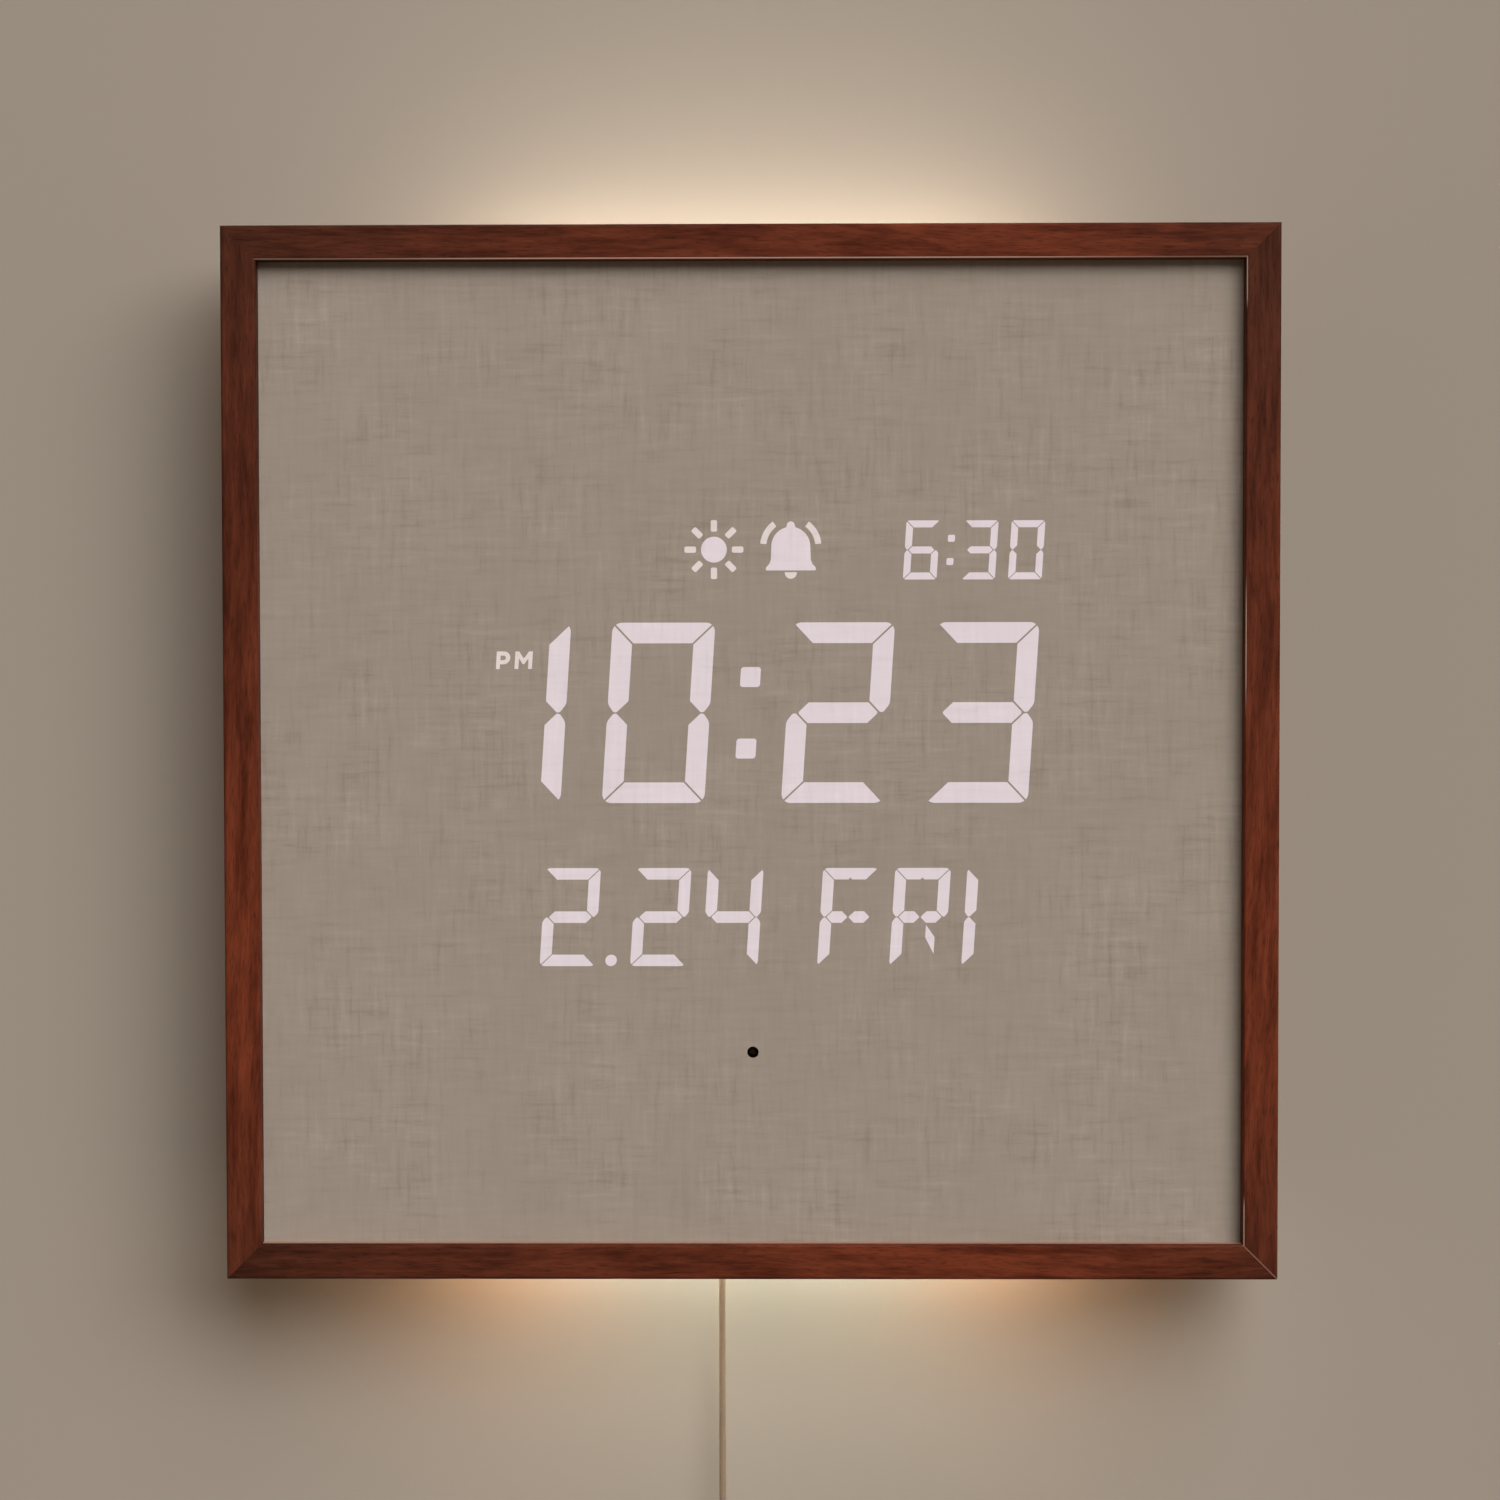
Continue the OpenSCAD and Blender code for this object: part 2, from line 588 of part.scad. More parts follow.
// Rear housing
inner_w = housing_width - 2 * housing_wall;
inner_h = housing_height - 2 * housing_wall;
boss_inset = [22, 19];
boss_r = 5;
boss_bore = 3.2;
boss_hole = 1.7;
boss_seat = 3.5;
boss_head = 2.8;
boss_head_tall = 1.8;
boss_tip_gap = 0.2;
housing_bosses = [for (c = corners) [c[0] * (housing_width / 2 - boss_inset[0]),
    c[1] * (housing_height / 2 - boss_inset[1])]];
keyholes = [[-keyhole_spacing / 2, keyhole_z], [keyhole_spacing / 2, keyhole_z]];
// Light windows, the shelves behind them and the strips on the shelves
light_half = housing_width / 2 - light_margin;
light_flange_lip = 0.7;
light_flange_end = 1.2;
light_flange_thick = 1.5;
shelf_drop = 10;
shelf_z = housing_height / 2 - shelf_drop;
shelf_over = 1.5;
shelf_half = light_half + shelf_over;
shelf_thick = 2;
shelf_lip = 0.4;
strip_over = 3;
strip_half = shelf_half + strip_over;
strip_thick = 1;
strip_wide = 5;
// Pocket of the power plug and channel of the cord
plug_room = 4;
pocket_half = plug_size / 2 + plug_room;
pocket_over = 0.7;
pocket_deep = cord_off + plug_size / 2 + pocket_over;
pocket_wall = 1.8;
pocket_top = plug_rise - housing_height / 2;
pocket_below = 17;
pocket_end = pocket_top - plug_long - pocket_below;
cord_room = 2.5;
channel_half = cord_size / 2 + cord_room;
channel_over = 0.9;
channel_deep = cord_off + cord_size / 2 + channel_over;
channel_start = past - housing_height / 2;
socket_long = 14;
socket_half = 5;
nose_r = 3.9;
// Control board, on posts in the right half of the housing
stand_off = 6;
y_circuit = y_floor - stand_off;
board_left = 8;
board_side = 6;
board_right = housing_width / 2 - board_side;
board_below = 4;
board_bottom = pocket_top - board_below;
board_top = 20;
control_inset = 5;
control_top_inset = 4;
control_post_r = 2.8;
control_post_base = 1.2;
control_hole = 1.2;
control_posts = [for (x = [board_left + control_inset, board_right - control_inset])
    for (z = [board_bottom + control_inset, board_top - control_top_inset]) [x, z]];
buttons = [for (k = [0:3]) [button_x + k * button_pitch, button_z]];
buzzer_place = [60, -25];
sound_slot = [12, 1.6];
sound_pitch = 3.4;
// Lugs of the battery cover, and the notches through which they pass
lug_out = 2;
lug_reach = cover_size / 2 + lug_out;
lug_root = 3;
lug_gap = 0.35;
lug_spread = 12;
notch_spread = 15;
lug_angles = [90, 210, 330];
cell_place = [cell_x, cell_z];
module sector(r0, r1, middle_angle, spread) {
    turns = [for (i = [-3:3]) middle_angle + spread * i / 3];
    polygon(concat([for (a = turns) r1 * [cos(a), sin(a)]],
        [for (i = [6:-1:0]) r0 * [cos(turns[i]), sin(turns[i])]]));
}
module keyhole_cut(p) {
    deep = housing_wall + 2 * past;
    translate([p[0], past, p[1]]) rotate([90, 0, 0]) {
        cylinder(d = keyhole_entry, h = deep);
        translate([0, keyhole_rise, 0]) cylinder(d = keyhole_slot, h = deep);
        translate([-keyhole_slot / 2, 0, 0]) cube([keyhole_slot, keyhole_rise, deep]);
    }
}
module light_cut(side) {
    tall = housing_wall + 2 * past;
    translate([-light_half, -light_off - light_window / 2,
        side * (housing_height / 2 - housing_wall / 2) - tall / 2])
        cube([2 * light_half, light_window, tall]);
}
module light_shelf(side) {
    reach = light_off + strip_wide / 2 + shelf_lip;
    translate([-shelf_half, -reach, side > 0 ? shelf_z - shelf_thick : -shelf_z])
        cube([2 * shelf_half, reach - housing_wall / 2, shelf_thick]);
}
// Box round the pocket and the channel, open at the back
module cord_box(half_wide, deep, low, high) {
    translate([cord_x - half_wide, -deep, low]) cube([2 * half_wide, deep - housing_wall / 2, high - low]);
}
module cord_cut(half_wide, deep, low, high) {
    translate([cord_x - half_wide, -deep, low]) cube([2 * half_wide, deep + past, high - low]);
}
module rear_housing() {
    color([0.13, 0.13, 0.13]) difference() {
        union() {
            difference() {
                slab(housing_width, housing_height, housing_depth, housing_round, housing_chamfer, 0);
                slab(inner_w, inner_h, housing_depth, housing_round - housing_wall, 0, y_floor);
            }
            for (side = [-1, 1]) light_shelf(side);
            cord_box(pocket_half + pocket_wall, pocket_deep + pocket_wall, pocket_end - pocket_wall,
                pocket_top + pocket_wall);
            cord_box(channel_half + pocket_wall, channel_deep + pocket_wall, channel_start, pocket_end);
            pegs(housing_bosses, -past, boss_r, housing_depth - past);
            pegs(control_posts, -past, control_post_r, -y_circuit - past);
        }
        cord_cut(pocket_half, pocket_deep, pocket_end, pocket_top);
        cord_cut(channel_half, channel_deep, channel_start - 2 * past, pocket_end + past);
        translate([cord_x, -cord_off, pocket_top - past])
            cylinder(r = nose_r + round_gap, h = pocket_wall + 2 * past);
        for (p = keyholes) keyhole_cut(p);
        for (side = [-1, 1]) light_cut(side);
        pegs(housing_bosses, past, boss_bore, past + housing_depth - boss_seat);
        pegs(housing_bosses, past, boss_hole, housing_depth + 2 * past);
        pegs(control_posts, -control_post_base - housing_wall, small_shank,
            stand_off + past - control_post_base);
        pegs(buttons, past, button_size / 2 + button_gap, housing_wall + 2 * past);
        pegs([cell_place], past, cover_size / 2 + cover_gap, housing_wall + 2 * past);
        translate([cell_x, 0, cell_z]) on_face(past, housing_wall + 2 * past) for (a = lug_angles)
            sector(cover_size / 2 - lug_out, lug_reach + lug_gap, a - cover_turn, notch_spread);
        for (k = [-2:2]) translate([buzzer_place[0] - sound_slot[0] / 2, -housing_wall - past,
            buzzer_place[1] + sound_pitch * k - sound_slot[1] / 2])
            cube([sound_slot[0], housing_wall + 2 * past, sound_slot[1]]);
    }
}
module housing_screws() {
    color([0.6, 0.6, 0.62]) screws(housing_bosses, boss_seat - housing_depth, boss_head, boss_head_tall,
        boss_screw, boss_seat + board_thick - boss_tip_gap);
}
module light_cover(side) {
    wall_in = housing_height / 2 - housing_wall;
    wide = light_window - 2 * round_gap;
    flange = light_window + 2 * light_flange_lip;
    color([0.95, 0.93, 0.86]) rotate([0, side > 0 ? 0 : 180, 0]) union() {
        translate([-light_half + round_gap, -light_off - wide / 2, wall_in - sunk])
            cube([2 * (light_half - round_gap), wide, housing_wall - sunk]);
        translate([-light_half - light_flange_end, -light_off - flange / 2, wall_in - light_flange_thick])
            cube([2 * (light_half + light_flange_end), flange, light_flange_thick]);
    }
}
module light_strip(side) {
    color([0.93, 0.93, 0.9]) translate([-strip_half, -light_off - strip_wide / 2,
        side > 0 ? shelf_z : -shelf_z - strip_thick]) cube([2 * strip_half, strip_wide, strip_thick]);
}
strip_led = [2.8, 3.5, 0.8];
strip_led_count = 15;
strip_led_inset = 5;
module strip_leds() {
    z = shelf_z + strip_thick;
    first = strip_led_inset - light_half;
    step = -2 * first / (strip_led_count - 1);
    color([0.98, 0.9, 0.6]) for (side = [-1, 1]) for (k = [0:strip_led_count - 1])
        translate([first + k * step - strip_led[0] / 2, -light_off - strip_led[1] / 2,
            side > 0 ? z : -z - strip_led[2]]) cube(strip_led);
}

// Control board with its parts
y_circuit_front = y_circuit - circuit_thick;
module control_board() {
    color([0.1, 0.32, 0.2]) difference() {
        translate([board_left, y_circuit_front, board_bottom])
            cube([board_right - board_left, circuit_thick, board_top - board_bottom]);
        pegs(control_posts, y_circuit + past, control_hole, circuit_thick + 2 * past);
    }
}
post_bite = 3.9;
module control_board_screws() {
    color([0.6, 0.6, 0.62]) for (p = control_posts) translate([p[0], y_circuit_front, p[1]])
        rotate([-90, 0, 0])
        screw(small_head, small_head_tall, small_shank - thread_gap, circuit_thick + post_bite);
}
chip_side = 10;
chip_tall = 1.2;
chip_from_side = 18;
chip_rise = 13;
chip_place = [board_right - chip_from_side, board_bottom + chip_rise];
chip_dot = 0.6;
chip_dot_inset = 1.6;
chip_dot_deep = 0.3;
module control_chip() {
    corner = chip_side / 2 - chip_dot_inset;
    color([0.1, 0.1, 0.11]) translate([chip_place[0], y_circuit_front, chip_place[1]]) difference() {
        translate([-chip_side / 2, -chip_tall, -chip_side / 2]) cube([chip_side, chip_tall, chip_side]);
        translate([-corner, -chip_tall - past, corner]) rotate([-90, 0, 0])
            cylinder(r = chip_dot, h = past + chip_dot_deep);
    }
}
crystal_r = 1;
crystal_long = 6;
crystal_gap = 1.5;
module clock_crystal() {
    color([0.75, 0.75, 0.77]) translate([chip_place[0] - chip_side / 2 - crystal_gap - crystal_long,
        y_circuit_front - crystal_r, chip_place[1]]) rotate([0, 90, 0])
        cylinder(r = crystal_r, h = crystal_long, $fn = 32);
}
buzzer_tall = 4.4;
buzzer_hole = 1.2;
buzzer_hole_deep = 2.4;
module alarm_buzzer() {
    color([0.1, 0.1, 0.1]) difference() {
        pegs([buzzer_place], y_circuit + buzzer_tall, buzzer_size / 2, buzzer_tall);
        pegs([buzzer_place], y_circuit + buzzer_tall + past, buzzer_hole, past + buzzer_hole_deep);
    }
}
// Push switches under the button caps
tact_side = 6;
tact_tall = 4;
tact_floor = 0.6;
plunger_r = 1.75;
plunger_out = 0.8;
plunger_gap = 0.1;
plunger_top = y_circuit + tact_tall + plunger_out;
module button_switches() {
    color([0.15, 0.15, 0.16]) for (p = buttons) difference() {
        translate([p[0] - tact_side / 2, y_circuit, p[1] - tact_side / 2])
            cube([tact_side, tact_tall, tact_side]);
        pegs([p], y_circuit + tact_tall + past, plunger_r + round_gap, past + tact_tall - tact_floor);
    }
}
module plunger(k) {
    long = plunger_out + tact_tall - tact_floor - plunger_gap - button_travel;
    color([0.3, 0.3, 0.32]) pegs([buttons[k]], plunger_top, plunger_r, long);
}
// Button caps: the finger face, the flange that keeps the cap in, and the stem on the plunger
cap_out = -0.5;
cap_flange = 1;
cap_flange_thick = 0.7;
cap_flange_gap = 0.05;
cap_stem = 1.6;
dish_r = 12;
dish_deep = 0.4;
module button(k) {
    color([0.78, 0.78, 0.76]) difference() {
        union() {
            pegs([buttons[k]], cap_out, button_size / 2, cap_out - y_floor + 2 * sunk);
            pegs([buttons[k]], y_floor - cap_flange_gap, button_size / 2 + cap_flange, cap_flange_thick);
            pegs([buttons[k]], y_floor - cap_flange_thick / 2, cap_stem,
                y_floor - cap_flange_thick / 2 - plunger_top);
        }
        translate([buttons[k][0], cap_out + dish_r - dish_deep, buttons[k][1]]) sphere(r = dish_r, $fn = 64);
    }
}

// Coin cell under a cover that turns to unlock
cell_lift = 0.5;
y_cell = y_circuit + cell_lift;
holder_wall = 2.2;
holder_tall = 3.9;
finger_cut = [9, 6];
finger_cut_in = 6;
finger_cut_floor = 2.3;
cap_tall = 0.64;
cap_rim = 1.4;
contact_r = 6;
module cell_holder() {
    color([0.12, 0.12, 0.12]) difference() {
        pegs([cell_place], y_circuit + holder_tall, cell_size / 2 + holder_wall, holder_tall);
        pegs([cell_place], y_circuit + holder_tall + past, cell_size / 2 + round_gap,
            holder_tall + 2 * past);
        translate([cell_x + cell_size / 2 - finger_cut_in, y_circuit + finger_cut_floor,
            cell_z - finger_cut[1] / 2])
            cube([finger_cut[0], holder_tall, finger_cut[1]]);
    }
}
module coin_cell() {
    color([0.75, 0.75, 0.74]) union() {
        pegs([cell_place], y_cell + cell_thick, cell_size / 2, cell_thick - cap_tall);
        pegs([cell_place], y_cell + cap_tall + sunk, cell_size / 2 - cap_rim, cap_tall + sunk);
    }
}
module cell_contact() {
    color([0.8, 0.7, 0.4]) pegs([cell_place], y_cell, contact_r, y_cell - y_circuit);
}
cover_sink = 0.3;
cover_boss = 1;
cover_boss_tall = 1.4;
lug_thick = 1.1;
coin_slot = [16, 1, 2.2];
module battery_cover() {
    top = -cover_sink;
    color([0.16, 0.16, 0.16]) difference() {
        union() {
            pegs([cell_place], top, cover_size / 2, top - y_floor);
            pegs([cell_place], y_floor + sunk, cover_size / 2 - cover_boss, cover_boss_tall);
            translate([cell_x, 0, cell_z]) on_face(y_floor - sunk, lug_thick) for (a = lug_angles)
                sector(cover_size / 2 - lug_root, lug_reach, a, lug_spread);
        }
        translate([cell_x - coin_slot[0] / 2, top - coin_slot[1], cell_z - coin_slot[2] / 2])
            cube([coin_slot[0], coin_slot[1] + past, coin_slot[2]]);
    }
}

// Power socket, plug and cord
socket_bottom = pocket_top + pocket_wall;
bore_deep = 10.4;
pin_r = 0.95;
pin_start = 1;
pin_root = 0.6;
module power_socket() {
    bore = barrel_size / 2 + round_gap;
    color([0.11, 0.11, 0.12]) union() {
        difference() {
            union() {
                translate([cord_x - socket_half, -cord_off - socket_half, socket_bottom])
                    cube([2 * socket_half, socket_half + cord_off - housing_wall, socket_long]);
                translate([cord_x, -cord_off, pocket_top]) cylinder(r = nose_r, h = pocket_wall + sunk);
            }
            translate([cord_x, -cord_off, pocket_top - past]) cylinder(r = bore, h = past + bore_deep);
        }
        translate([cord_x, -cord_off, pocket_top + pin_start])
            cylinder(r = pin_r, h = bore_deep + pin_root - pin_start, $fn = 32);
    }
}
barrel_long = 9.5;
barrel_bore = 1.2;
barrel_floor = 0.8;
module plug_barrel() {
    color([0.78, 0.78, 0.8]) translate([cord_x, -cord_off, pocket_top]) difference() {
        cylinder(d = barrel_size, h = barrel_long);
        translate([0, 0, barrel_floor]) cylinder(r = barrel_bore, h = barrel_long, $fn = 32);
    }
}
// Moulded plug with a ribbed, tapered strain relief
relief_long = 13;
plug_edge = 0.5;
plug_shoulder = [1.2, 1.5];
rib_count = 4;
rib_pitch = 3;
rib_wide = 1.6;
rib_start = 0.6;
rib_slope = 0.3;
groove_deep = 0.6;
rib_r = 2.6;
rib_taper = 0.3;
relief_tip = 1.5;
cord_top = pocket_top - plug_long - relief_long;
module power_plug() {
    r = plug_size / 2;
    turns = [[0, pocket_top], [r - plug_edge, pocket_top], [r, pocket_top - plug_edge],
        [r, pocket_top - plug_long + plug_shoulder[1]], [r - plug_shoulder[0], pocket_top - plug_long]];
    ribs = joined([for (k = [0:rib_count - 1])
        let (z = pocket_top - plug_long - rib_start - rib_pitch * k, q = rib_r - rib_taper * k)
        [[q, z], [q, z - rib_wide], [q - groove_deep, z - rib_wide - rib_slope],
            [q - groove_deep, z - rib_pitch]]]);
    color([0.63, 0.6, 0.55]) translate([cord_x, -cord_off, 0]) rotate_extrude()
        polygon(concat(turns, ribs, [[relief_tip, cord_top], [0, cord_top]]));
}

// The cord hangs straight, winds into a small tied coil below, and ends in its plug
lead_route = [[0, cord_top], [0, -110], [0, -125], [0, -140], [0, -155], [0, -170], [0, -185], [0, -200],
    [0, -215], [0, -232], [-0.7, -237.3], [-2.8, -242.3], [-6, -246.5]];
lead_points = [for (q = lead_route) [cord_x + q[0], -cord_off, q[1]]];
turn_gap = 0.5;
coil_step = cord_size + turn_gap;
coil_layers = 4;
coil_turns = 18.125;
coil_per_layer = coil_turns / coil_layers;
coil_outer = 17.4;
coil_inner = coil_outer - coil_step * coil_per_layer;
coil_enter = 135;
coil_start = lead_points[len(lead_points) - 1];
coil_in = cord_size * [cos(coil_enter + 90), 0, sin(coil_enter + 90)];
coil_middle = coil_start + coil_in - coil_outer * [cos(coil_enter), 0, sin(coil_enter)];
function coil_radius(t) = let (k = min(coil_layers - 1, floor(t / coil_per_layer)),
        s = t - k * coil_per_layer)
    k % 2 == 0 ? coil_outer - coil_step * s : coil_inner + coil_step * s;
function eased(u) = let (v = max(0, min(1, u))) v * v * (3 - 2 * v);
function total(list) = list * [for (v = list) 1];
// A layer is climbed in the half turn round its reversal
function coil_rise(t) = total([for (k = [1:coil_layers - 1]) eased(2 * (t - k * coil_per_layer) + 0.5)]);
function coil_point(t) = coil_middle +
    [coil_radius(t) * cos(coil_enter + 360 * t), -coil_step * coil_rise(t),
    coil_radius(t) * sin(coil_enter + 360 * t)];
points_per_turn = 24;
coil_count = round(coil_turns * points_per_turn);
wound = [for (i = [0:coil_count]) coil_point(coil_turns * i / coil_count)];
coil_last = wound[coil_count];
tail_step = 5;
coil_points = concat([coil_start], wound, [coil_last - [0, 0, cord_size]]);
tail_points = [for (k = [0:2]) coil_last - [0, 0, cord_size + tail_step * k]];
tail_end = tail_points[2];
function path_length(p) = total([for (i = [1:len(p) - 1]) norm(p[i] - p[i - 1])]);
cord_total = path_length(lead_points) + path_length(coil_points) + path_length(tail_points);
echo(cord_total = cord_total);
function unit(v) = v / norm(v);
function along(p, i) = i == 0 ? unit(p[1] - p[0]) : i == len(p) - 1 ? unit(p[i] - p[i - 1]) :
    unit(unit(p[i + 1] - p[i]) + unit(p[i] - p[i - 1]));
// Tube of round section through the points, one closed polyhedron
tube_side = [0, 1, 0.013];
module tube(p, d, sides) {
    n = len(p);
    rings = [for (i = [0:n - 1]) let (t = along(p, i), u = unit(cross(t, tube_side)), v = cross(t, u))
        for (k = [0:sides - 1]) p[i] + d / 2 * (u * cos(360 * k / sides) + v * sin(360 * k / sides))];
    sides_faces = [for (i = [0:n - 2]) for (k = [0:sides - 1]) let (a = i * sides + k,
        b = i * sides + (k + 1) % sides) each [[a, a + sides, b], [b, a + sides, b + sides]]];
    polyhedron(rings, concat([[for (k = [0:sides - 1]) k]], sides_faces,
        [[for (k = [sides - 1:-1:0]) (n - 1) * sides + k]]));
}
cord_colour = [0.68, 0.64, 0.58];
module power_cord() {
    color(cord_colour) tube(lead_points, cord_size, 8);
}
module cord_coil() {
    color(cord_colour) tube(coil_points, cord_size, 6);
}
module cord_tail() {
    color(cord_colour) tube(tail_points, cord_size, 8);
}
// Strap round the left-out side of the coil
tie_wide = 5;
tie_thick = 0.8;
tie_play = 0.9;
tie_gap = 0.4;
module coil_tie() {
    low = coil_inner - cord_size / 2 - tie_play;
    high = coil_outer + cord_size / 2 + tie_play;
    deep = coil_step * (coil_layers - 1) + cord_size + 2 * tie_gap;
    color([0.1, 0.1, 0.1])
        translate([coil_middle[0], coil_middle[1] + cord_size / 2 + tie_gap, coil_middle[2]])
        difference() {
            translate([-tie_wide / 2, -deep - tie_thick, low - tie_thick])
                cube([tie_wide, deep + 2 * tie_thick, high - low + 2 * tie_thick]);
            translate([-tie_wide / 2 - past, -deep, low]) cube([tie_wide + 2 * past, deep, high - low]);
        }
}
// Plug at the far end: relief, moulded grip with rounded edges, and metal shell
usb_relief = 7;
usb_relief_r = [1.6, 1.9, 2.6];
usb_relief_tip = 1.5;
usb_round = 2.2;
usb_step = 1;
module usb_plug() {
    top = tail_end[2] - usb_relief;
    color([0.63, 0.6, 0.55]) translate([tail_end[0], tail_end[1], 0]) union() {
        translate([0, 0, top - sunk]) rotate_extrude() polygon([[0, usb_relief + sunk],
            [usb_relief_r[0], usb_relief + sunk], [usb_relief_r[1], usb_relief - usb_relief_tip],
            [usb_relief_r[2], 0], [0, 0]]);
        translate([0, 0, top - usb_long]) linear_extrude(usb_long - usb_step)
            polygon(box(usb_width, usb_thick, usb_round));
        translate([0, 0, top - usb_step - sunk]) linear_extrude(usb_step + sunk)
            polygon(box(usb_width - 2 * usb_step, usb_thick - 2 * usb_step, usb_round - usb_step));
    }
}
shell_wide = 12;
shell_tall = 4.5;
shell_long = 12;
shell_wall = 0.35;
shell_floor = 1;
shell_hole = [2, 2.2];
shell_hole_x = 2.8;
shell_hole_end = 5.2;
module usb_shell() {
    top = tail_end[2] - usb_relief - usb_long;
    color([0.78, 0.78, 0.8]) translate([tail_end[0], tail_end[1], top]) difference() {
        translate([-shell_wide / 2, -shell_tall / 2, -shell_long]) cube([shell_wide, shell_tall, shell_long]);
        translate([-shell_wide / 2 + shell_wall, -shell_tall / 2 + shell_wall, -shell_long - past])
            cube([shell_wide - 2 * shell_wall, shell_tall / 2 - shell_wall, shell_long + past - shell_floor]);
        for (x = [-shell_hole_x, shell_hole_x]) translate([x - shell_hole[0] / 2, -shell_tall / 2 - past,
            -shell_hole_end - shell_hole[1]]) cube([shell_hole[0], past + 2 * shell_wall, shell_hole[1]]);
    }
}

// Connectors and leads inside
connector_tall = 4;
ribbon_header = [18, 6];
ribbon_header_tall = 2.6;
light_header = [5.6, 5];
light_header_in = 4.4;
light_header_tall = connector_tall + 1;
light_header_drop = 16;
light_header_rise = 10;
supply_header = [5, 6];
supply_rise = 8;
supply_z = pocket_top + supply_rise;
lead_r = 0.6;
lead_x = [strip_half - 2.4, strip_half - 0.8];
// Block standing on a circuit board, its size given across the board and off it
module header(x, y, z, size, tall) {
    translate([x, y, z]) cube([size[0], tall, size[1]]);
}
module board_connectors() {
    ribbon_corner = ribbon_place - ribbon_header / 2;
    y_light = y_circuit_front - light_header_tall;
    light_x = strip_half - light_header_in;
    color([0.9, 0.88, 0.8]) {
        header(ribbon_corner[0], y_circuit_front - connector_tall, ribbon_corner[1], ribbon_header,
            connector_tall);
        header(ribbon_corner[0], y_display_back, ribbon_corner[1], ribbon_header, ribbon_header_tall);
        header(light_x, y_light, board_top - light_header_drop, light_header, light_header_tall);
        header(light_x, y_light, board_bottom + light_header_rise, light_header, light_header_tall);
        header(board_left, y_circuit_front - connector_tall, supply_z - supply_header[1] / 2, supply_header,
            connector_tall);
    }
}
ribbon_pitch = 1.27;
ribbon_wire = 0.65;
ribbon_web = 0.6;
module ribbon_cable() {
    start = y_display_back + ribbon_header_tall;
    long = y_circuit_front - connector_tall - start;
    color([0.62, 0.62, 0.64]) translate([ribbon_place[0], start, ribbon_place[1]]) rotate([-90, 0, 0])
            union() {
        for (k = [-5:5]) translate([ribbon_pitch * k, 0, 0]) cylinder(r = ribbon_wire, h = long, $fn = 16);
        translate([-5 * ribbon_pitch, -ribbon_web / 2, 0]) cube([10 * ribbon_pitch, ribbon_web, long]);
    }
}
lead_lift = 0.7;
lead_apart = 1;
module inner_leads() {
    upper = board_top - light_header_drop + light_header[1];
    lower = board_bottom + light_header_rise;
    color([0.55, 0.12, 0.1]) {
        for (x = lead_x) {
            translate([x, -light_off, upper]) cylinder(r = lead_r, h = shelf_z - upper, $fn = 24);
            translate([x, -light_off, -shelf_z]) cylinder(r = lead_r, h = lower + shelf_z, $fn = 24);
        }
        for (z = [supply_z - lead_apart, supply_z + lead_apart])
            translate([cord_x + socket_half, y_circuit_front - lead_lift, z]) rotate([0, 90, 0])
                cylinder(r = lead_r, h = board_left - cord_x - socket_half, $fn = 24);
    }
}

frame_rail(0);  // top_rail
frame_rail(1);  // right_stile
frame_rail(2);  // bottom_rail
frame_rail(3);  // left_stile
corner_nails();
linen_cover();
face_panel();
lit(time_shapes(true));  // lit_time_digits
lit(date_shapes(true));  // lit_date_digits
lit(week_shapes(true));  // lit_weekday_letters
lit(alarm_shapes(true));  // lit_alarm_digits
diffuser_film();
display_reflector();
display_board();
segment_leds();
display_screws();
light_sensor();
sensor_shroud();
spacer_frame();
back_board();
back_board_screws();
rear_housing();
housing_screws();
light_cover(1);  // top_light_cover
light_cover(-1);  // bottom_light_cover
light_strip(1);  // top_light_strip
light_strip(-1);  // bottom_light_strip
strip_leds();
control_board();
control_board_screws();
control_chip();
clock_crystal();
alarm_buzzer();
button_switches();
button(0);  // mode_button
button(1);  // up_button
button(2);  // down_button
button(3);  // light_button
plunger(0);  // mode_plunger
plunger(1);  // up_plunger
plunger(2);  // down_plunger
plunger(3);  // light_plunger
cell_holder();
coin_cell();
cell_contact();
battery_cover();
power_socket();
power_plug();
plug_barrel();
power_cord();
cord_coil();
cord_tail();
coil_tie();
usb_plug();
usb_shell();
ribbon_cable();
board_connectors();
inner_leads();
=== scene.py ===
# %% [markdown]
# A digital wall clock with a linen face, a mitred wooden frame and a display that shines through the
# cloth. The solids come from the imported model, in metres, with the wall at y = 0 and the face looking
# along -Y. They are loaded first.

# %% Load the solids
import math

import bpy
from mathutils import Matrix, Vector
from mathutils.geometry import delaunay_2d_cdt


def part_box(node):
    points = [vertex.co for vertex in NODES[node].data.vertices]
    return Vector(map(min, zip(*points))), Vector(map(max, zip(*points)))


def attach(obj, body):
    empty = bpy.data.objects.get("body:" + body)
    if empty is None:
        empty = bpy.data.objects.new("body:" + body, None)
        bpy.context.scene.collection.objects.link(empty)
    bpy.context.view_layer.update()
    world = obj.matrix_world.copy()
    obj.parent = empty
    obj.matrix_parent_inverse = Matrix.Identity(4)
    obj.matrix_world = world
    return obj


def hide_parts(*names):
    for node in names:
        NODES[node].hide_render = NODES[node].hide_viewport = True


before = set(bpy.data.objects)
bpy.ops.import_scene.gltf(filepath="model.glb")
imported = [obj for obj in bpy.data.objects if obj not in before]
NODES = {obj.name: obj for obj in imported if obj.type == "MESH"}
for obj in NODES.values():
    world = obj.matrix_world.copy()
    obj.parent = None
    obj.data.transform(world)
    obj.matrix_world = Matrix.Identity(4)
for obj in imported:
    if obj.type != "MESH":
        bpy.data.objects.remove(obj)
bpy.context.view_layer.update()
MM = 0.001
